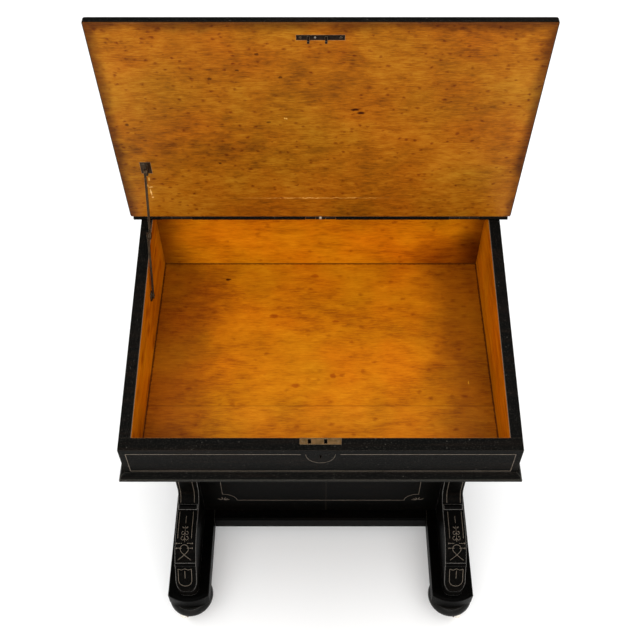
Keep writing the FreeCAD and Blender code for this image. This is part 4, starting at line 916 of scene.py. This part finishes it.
class DESK_OT_ebonised_boards(bpy.types.Operator):
    """Ebonised finish of the outside of the desk"""

    bl_idname = "desk.ebonised_boards"
    bl_label = "Ebonised boards"

    def execute(self, context):
        lit, dim = context.scene.desk_finishes.ebony_lit, context.scene.desk_finishes.ebony_dim_lit
        smooth = ebonised_mahogany("ebonised_mahogany")
        # Supports: black deepened to half as painted shade, with a painted highlight on their edges
        carved = ebonised_mahogany("carved_ebonised_mahogany", lit, edge_mm=2.2, times=0.5)
        # Moulding: a dim painted highlight on its edges
        moulded = ebonised_mahogany("moulded_ebonised_mahogany", dim, edge_mm=2.2)
        # Plinth and sled feet: black deepened to a quarter as painted shade, with a dim painted
        # highlight on their edges
        deep = ebonised_mahogany("deep_ebonised_mahogany", dim, edge_mm=2.2, times=0.25)
        # Turned work: a painted highlight on its edges
        turned = ebonised_mahogany("turned_ebonised_mahogany", lit, gleam=0.12)
        dress(writing_leather("writing_leather"), "lid_leather")
        dress(jointed_panel("ebonised_panel", joint=11 * MM), "pedestal_front_panel")
        dress(smooth, "pedestal_back_panel", "pedestal_left_panel", "case_back_board",
              "gallery_back", "gallery_ends", "top_shelf", "lid_board", "dummy_drawer_fronts",
              *(f"drawer_{number}_front" for number in DRAWERS))
        dress(turned, "bun_feet", "dummy_drawer_knobs",
              *(f"drawer_{number}_knobs" for number in DRAWERS))
        dress(carved, "left_scroll_support", "right_scroll_support")
        dress(moulded, "case_bottom_moulding")
        dress(deep, "plinth_platform", "left_sled_foot", "right_sled_foot")
        return {"FINISHED"}


class DESK_OT_well_and_lid(bpy.types.Operator):
    """Clear-polished wood of the writing well, the lid's veneer and the drawers"""

    bl_idname = "desk.well_and_lid"
    bl_label = "Well, lid and drawers"

    def execute(self, context):
        tones = context.scene.desk_finishes
        pine = [tuple(tone) for tone in (tones.well_dark, tones.well_mid, tones.well_light)]
        maple = [tuple(tone) for tone in (tones.maple_dark, tones.maple_mid, tones.maple_light)]
        mahogany = [linear(code) for code in ("#6d4a2a", "#8e653c", "#ab8255")]

        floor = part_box("case_floor")[1].z / MM
        side, back = SIDE_LOW.x / MM, BACK_LOW.y / MM

        def on_floor(places):
            return [((x, y, floor), (wide, deep, FLOOR_MARK_DEPTH)) for x, y, wide, deep in places]

        dirty_joints = ((0, back, 900, 4), (1 - side, 0, 2.4, 500), (side - 1, 0, 2.4, 500))
        # The floor darkens towards the side walls: dust, and painted shade
        dress(polished_wood(
            "polished_pine_floor", pine, FLOOR_GRAIN,
            spans=[Span(X, 0.0, SIDE_LOW.x - 45 * MM, reach=95 * MM)], ragged_mm=42, edge_shade_tint=DUST_AND_SHADE,
            spots=[(KNOT, on_floor(FLOOR_KNOTS)), (DIRT_AND_SHADE, on_floor(dirty_joints)),
                   (STAIN, on_floor(FLOOR_STAINS)), (BARE, on_floor(FLOOR_SCARS))],
            joint=Joint(Y, -127.8 * MM, 0.8 * MM, DIRT_AND_SHADE, PALE_BOARD)), "case_floor")
        # Painted shade in the back wall's right corner
        shaded_right_corner = ((side, back, floor), (150, 200, 90))
        # Painted shade towards both ends of the back wall
        dress(polished_wood(
            "polished_pine_back", toned(pine, 1.35), BACK_GRAIN,
            spans=[Span(X, 0.0, SIDE_LOW.x, reach=60 * MM)], ragged_mm=16,
            spots=[(SHADE, [shaded_right_corner])]), "well_back_wall")
        pale_pine = toned(pine, 1.25)
        dress(case_board("ebonised_and_polished_sides", pale_pine, SIDE_GRAIN),
              "case_left_side", "case_right_side")
        dress(case_board("ebonised_and_polished_front", pale_pine, FRONT_GRAIN), "case_front_board")

        low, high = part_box("lid_lining")
        face = low.y / MM

        def on_lid(places):
            return [((x, face, z), (wide, LID_MARK_DEPTH, tall)) for x, z, wide, tall in places]

        # Painted shade towards the sides and top of the veneer, under the lid's black border
        dress(polished_wood(
            "birds_eye_maple", maple, LID_GRAIN,
            spans=[Span(X, 0.0, high.x, reach=20 * MM),
                   Span(Z, low.z, high.z - low.z, reach=22 * MM)], ragged_mm=16,
            spots=[(KNOT, on_lid(LID_KNOTS)), (DIRT_AND_SHADE, on_lid(LID_DIRT)),
                   (BARE, on_lid(LID_SCARS))]), "lid_lining")

        dress(polished_wood("drawer_mahogany", mahogany, DRAWER_GRAIN),
              *(f"drawer_{number}_box" for number in DRAWERS))
        rail_depth = 22 * MM
        dress(drawer_rail("drawer_rails", mahogany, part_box("dust_boards")[1].x - rail_depth),
              "dust_boards")
        return {"FINISHED"}


class DESK_OT_metalwork(bpy.types.Operator):
    """Brass, bronzed and iron finishes, the porcelain wheels and every screw"""

    bl_idname = "desk.metalwork"
    bl_label = "Metalwork and castors"

    def execute(self, context):
        finishes = context.scene.desk_finishes
        brass = worn_metal(
            "aged_brass", finishes.brass, "#4e3c20", cloud_mm=5, roughness=0.5, metallic=0.85)
        bronze = worn_metal(
            "bronzed_brass", finishes.bronze, "#1c130b", cloud_mm=9, roughness=0.45, metallic=0.85)
        steel = worn_metal(
            "filed_steel", linear("#9a938a"), "#4c443b", cloud_mm=4, roughness=0.4, metallic=0.9)
        # Painted glint on the knuckle of the middle hinge
        knuckle_glint = (tuple(part / MM for part in HINGE), (3.4, 9, 9))
        iron, hinge_iron = (
            worn_metal(name, finishes.iron, "#100c08", cloud_mm=6, roughness=0.55, metallic=0.8,
                       spots=spots)
            for name, spots in (("dark_iron", ()), ("hinge_iron", [knuckle_glint])))
        dress(brass, "lock_plate", "castor_sockets",
              *(f"castor_fork_{corner}" for corner in CASTORS))
        dress(bronze, "stay_wall_plate", "stay_lid_bracket", "stay_upper_arm", "stay_lower_arm")
        dress(iron, "lock_case", "lock_bolt", "lid_link_plate")
        dress(hinge_iron, "hinge_shelf_leaves", "hinge_lid_leaves", "hinge_pins")
        dress(glazed_porcelain("glazed_porcelain"),
              *(f"castor_wheel_{corner}" for corner in CASTORS))

        case_screws = bmesh.new()
        leaf_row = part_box("hinge_shelf_leaves")[1].y - LEAF_SCREW_IN
        for hinge in (-HINGE_PITCH, 0.0, HINGE_PITCH):
            for offset in (-LEAF_SCREW_PITCH, 0.0, LEAF_SCREW_PITCH):
                slotted_screw(case_screws, Vector((hinge + offset, leaf_row, SHELF_HIGH.z)),
                              UP, RIGHT, radius=2.6 * MM)
        low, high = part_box("lock_plate")
        slope = Matrix.Rotation(RIM_SLOPE, 3, "X") @ UP
        top = max(slope.dot(vert.co) for vert in frame["nodes"]["lock_plate"].data.vertices)
        middle = (low.y + high.y) / 2
        for x in (-LOCK_SCREW_OUT, LOCK_SCREW_OUT):
            slotted_screw(case_screws, Vector((x, middle, (top - slope.y * middle) / slope.z)),
                          slope, RIGHT, radius=2.4 * MM, proud=FLUSH)
        low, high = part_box("stay_wall_plate")
        for up in (-DISC_SCREW_UP, DISC_SCREW_UP):
            slotted_screw(
                case_screws,
                Vector((low.x + DISC_THICK, (low.y + high.y) / 2, (low.z + high.z) / 2 + up)),
                RIGHT, UP, radius=1.5 * MM)
        new_piece("case_screws", case_screws, brass, "case")

        lid_screws, link_screws = bmesh.new(), bmesh.new()
        inward = LID.to_3x3() @ FORWARD
        for screws, x, radius in (
            (lid_screws, -LINK_SCREW_OUT, 2.4 * MM), (link_screws, -LINK_PIN_OUT, 1.8 * MM),
            (lid_screws, LINK_SCREW_OUT, 2.4 * MM),
        ):
            place = LID @ Vector((x, LID_FACE, LINK_UP))
            slotted_screw(screws, place, inward, RIGHT, radius, proud=FLUSH)
        bracket = Vector((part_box("stay_lid_bracket")[0].x + BRACKET_SCREW_IN, LID_FACE, BRACKET_UP))
        for up in (-BRACKET_SCREW_UP, BRACKET_SCREW_UP):
            slotted_screw(lid_screws, LID @ (bracket + UP * up), inward, RIGHT, radius=2.2 * MM)
        new_piece("link_screws", link_screws, steel, "lid")
        new_piece("lid_screws", lid_screws, bronze, "lid")
        return {"FINISHED"}


class DESK_OT_gilt_box(bpy.types.Operator):
    """Gilt lines on the front and sides of the writing box"""

    bl_idname = "desk.gilt_box"
    bl_label = "Gilt lines of the writing box"

    def execute(self, context):
        sizes = context.scene.desk_gilding
        slope = math.tan(RIM_SLOPE)
        half, gap = FRONT_HIGH.x - sizes.front_inset, sizes.lock_gap
        high = FRONT_HIGH.z - (FRONT_HIGH.y - FRONT_LOW.y) * slope - sizes.front_top
        low = high - sizes.front_drop
        lines = bmesh.new()
        forward_lines(lines, FRONT_FACE, (
            ((-half, high), (-gap, high)), ((gap, high), (half, high)),
            ((-half, high), (-half, low)), ((half, low), (half, high)), ((half, low), (-half, low)),
        ), sizes)
        # Fine arc round the keyhole, a little longer than a half circle
        arc = bmesh.new()
        keyhole, reach, stretch = Vector((0, FRONT_FACE, high)), 22 * MM, 1.2
        bent_bar(arc, keyhole, keyhole - RIGHT * reach, FORWARD, math.pi,
                 sizes.line_width * 0.45, sizes.line_rise, steps=24)
        bmesh.ops.scale(
            arc, vec=(1, 1, stretch), space=Matrix.Translation(-keyhole), verts=arc.verts[:])
        join_in(lines, arc)
        new_piece("gilt_front_lines", lines, gilding(), "case")

        sides = bmesh.new()
        inset, above_moulding = 14 * MM, 10 * MM
        near, knee, far = FRONT_FACE + inset, SHELF_LOW.y, SIDE_HIGH.y - inset
        base, top = SIDE_LOW.z + inset + above_moulding, SIDE_HIGH.z - inset
        front_top = SIDE_HIGH.z - (knee - near) * slope - inset
        for out in (RIGHT, -RIGHT):
            box_line(sides, [Vector((SIDE_HIGH.x * out.x, y, z)) for y, z in (
                (near, base), (far, base), (far, top), (knee, top), (near, front_top))], out, sizes)
        new_piece("gilt_side_lines", sides, gilding(), "case")

        border = bmesh.new()
        leather = [LID.inverted() @ vert.co for vert in frame["nodes"]["lid_leather"].data.vertices]
        right, outer, high = (max(point[axis] for point in leather) for axis in (X, Y, Z))
        low = min(point.z for point in leather)
        for inset in (7 * MM, 11 * MM):
            reach = right - inset
            box_line(border, [LID @ Vector((x, outer, z)) for x, z in (
                (-reach, low + inset), (reach, low + inset),
                (reach, high - inset), (-reach, high - inset))], LID.to_3x3() @ -FORWARD, sizes)
        new_piece("gilt_leather_border", border, gilding(), "lid")
        return {"FINISHED"}


class DESK_OT_gilt_pedestal(bpy.types.Operator):
    """Gilt panel line with incurved corners and leaves, and the lines of the drawer fronts"""

    bl_idname = "desk.gilt_pedestal"
    bl_label = "Gilt lines of the pedestal"

    def execute(self, context):
        sizes = context.scene.desk_gilding
        width, rise = sizes.line_width, sizes.line_rise
        half, bend = sizes.panel_half, sizes.panel_corner
        low, high = sizes.panel_base, sizes.panel_top
        lines = bmesh.new()
        forward_lines(lines, PANEL_FACE, (
            ((-half, high - bend), (-half, low + bend)), ((half, low + bend), (half, high - bend)),
            ((-half + bend, low), (half - bend, low)), ((half - bend, high), (-half + bend, high)),
        ), sizes)
        for x, z, turn in ((-half, low, -1), (half, low, 1), (half, high, -1), (-half, high, 1)):
            corner = Vector((x, PANEL_FACE, z))
            inward = -1 if z == high else 1
            start = Vector((x, PANEL_FACE, z + inward * bend))
            bent_bar(lines, corner, start, FORWARD, turn * math.pi / 2, width, rise, steps=8)
            # Spray of five leaves, leaning in from the corner
            lean = -RIGHT * math.copysign(0.4, x)
            for degrees in (-70, -35, 0, 35, 70):
                angle = math.radians(degrees)
                way = Vector((math.sin(angle), 0, inward * math.cos(angle)))
                along = (way + lean).normalized()
                leaf(lines, corner + along * 8 * MM, 11 * MM, 1.8 * MM, rise, FORWARD, along)
        new_piece("gilt_panel_lines", lines, gilding(), "case")

        dummies = bmesh.new()
        for number in DRAWERS:
            front = bmesh.new()
            front_line(front, number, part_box(f"drawer_{number}_front")[1].x, RIGHT, sizes)
            new_piece(f"gilt_drawer_{number}_line", front, gilding(), f"drawer_{number}")
            front_line(dummies, number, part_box("dummy_drawer_fronts")[0].x, -RIGHT, sizes)
        new_piece("gilt_dummy_lines", dummies, gilding(), "case")
        return {"FINISHED"}


class DESK_OT_support_ornament(bpy.types.Operator):
    """Gilt lines, sprig, belt, crossed ribbon and tongue on the front of each scroll support"""

    bl_idname = "desk.support_ornament"
    bl_label = "Ornament of the scroll supports"

    def execute(self, context):
        middle = (SUPPORT_LOW.x + SUPPORT_HIGH.x) / 2 + 2 * MM
        for side, sign in zip(("left", "right"), SIDES):
            drawn = bmesh.new()
            draw_support(drawn, context.scene.desk_gilding)
            new_piece(f"gilt_{side}_support", drawn, gilding(), "case", sign * middle)
        return {"FINISHED"}


class DESK_OT_stage(bpy.types.Operator):
    """Pale floor, soft lights and the camera"""

    bl_idname = "desk.stage"
    bl_label = "Stage"

    def execute(self, context):
        stage = context.scene.desk_stage
        bm = bmesh.new()
        bmesh.ops.create_grid(bm, x_segments=1, y_segments=1, size=6.0)
        floor = in_scene("floor", mesh_of("floor", bm))
        floor.data.materials.append(pale_floor(stage.floor))

        world = bpy.data.worlds.new("pale_surround")
        world.use_nodes = True
        ground = world.node_tree.nodes["Background"]
        ground.inputs["Color"].default_value = (1, 1, 1, 1)
        ground.inputs["Strength"].default_value = stage.sky
        context.scene.world = world
        context.scene.view_settings.view_transform = "Standard"

        desk_middle = Vector((0, 0, 0.7))
        for name, place, size, power in (
            ("key_light", Vector((0.0, -1.0, 4.1)), 4.4, stage.key),
            ("front_light", Vector((0.0, -3.6, 2.6)), 3.0, stage.fill),
        ):
            lamp = bpy.data.lights.new(name, "AREA")
            lamp.energy = power
            lamp.size = size
            light = in_scene(name, lamp)
            light.location = place
            light.rotation_euler = (desk_middle - place).to_track_quat("-Z", "Y").to_euler()

        camera = in_scene("camera", bpy.data.cameras.new("camera"))
        camera.data.lens = stage.lens
        camera.data.sensor_width = 36
        camera.data.shift_x = -0.0009
        camera.data.shift_y = stage.shift
        camera.location = (0, -stage.camera_back, stage.camera_height)
        camera.rotation_euler = (math.pi / 2 - stage.tilt, 0, 0)
        context.scene.camera = camera
        return {"FINISHED"}


class DESK_PT_panel(bpy.types.Panel):
    """Lists the desk's pieces, finishes and sizes"""

    bl_idname = "DESK_PT_panel"
    bl_label = "Davenport desk"
    bl_space_type = "VIEW_3D"
    bl_region_type = "UI"
    bl_category = "Desk"

    def draw(self, context):
        for operator in OPERATORS:
            self.layout.operator(operator.bl_idname)
        for group in GROUPS:
            column = self.layout.column(align=True)
            settings = getattr(context.scene, group)
            for name in settings.bl_rna.properties.keys():
                if name not in ("rna_type", "name"):
                    column.prop(settings, name)


GROUPS = {"desk_finishes": DeskFinishes, "desk_gilding": DeskGilding, "desk_stage": DeskStage}
OPERATORS = (
    DESK_OT_ebonised_boards,
    DESK_OT_well_and_lid,
    DESK_OT_metalwork,
    DESK_OT_gilt_box,
    DESK_OT_gilt_pedestal,
    DESK_OT_support_ornament,
    DESK_OT_stage,
)
CLASSES = (*GROUPS.values(), *OPERATORS, DESK_PT_panel)


def register():
    for kind in CLASSES:
        bpy.utils.register_class(kind)
    for name, group in GROUPS.items():
        setattr(bpy.types.Scene, name, bpy.props.PointerProperty(type=group))


def unregister():
    for name in GROUPS:
        delattr(bpy.types.Scene, name)
    for kind in reversed(CLASSES):
        bpy.utils.unregister_class(kind)


def main():
    register()
    bpy.ops.desk.ebonised_boards()
    bpy.ops.desk.well_and_lid()
    bpy.ops.desk.metalwork()
    bpy.ops.desk.gilt_box()
    bpy.ops.desk.gilt_pedestal()
    bpy.ops.desk.support_ornament()
    bpy.ops.desk.stage()


if __name__ == "__main__":
    main()
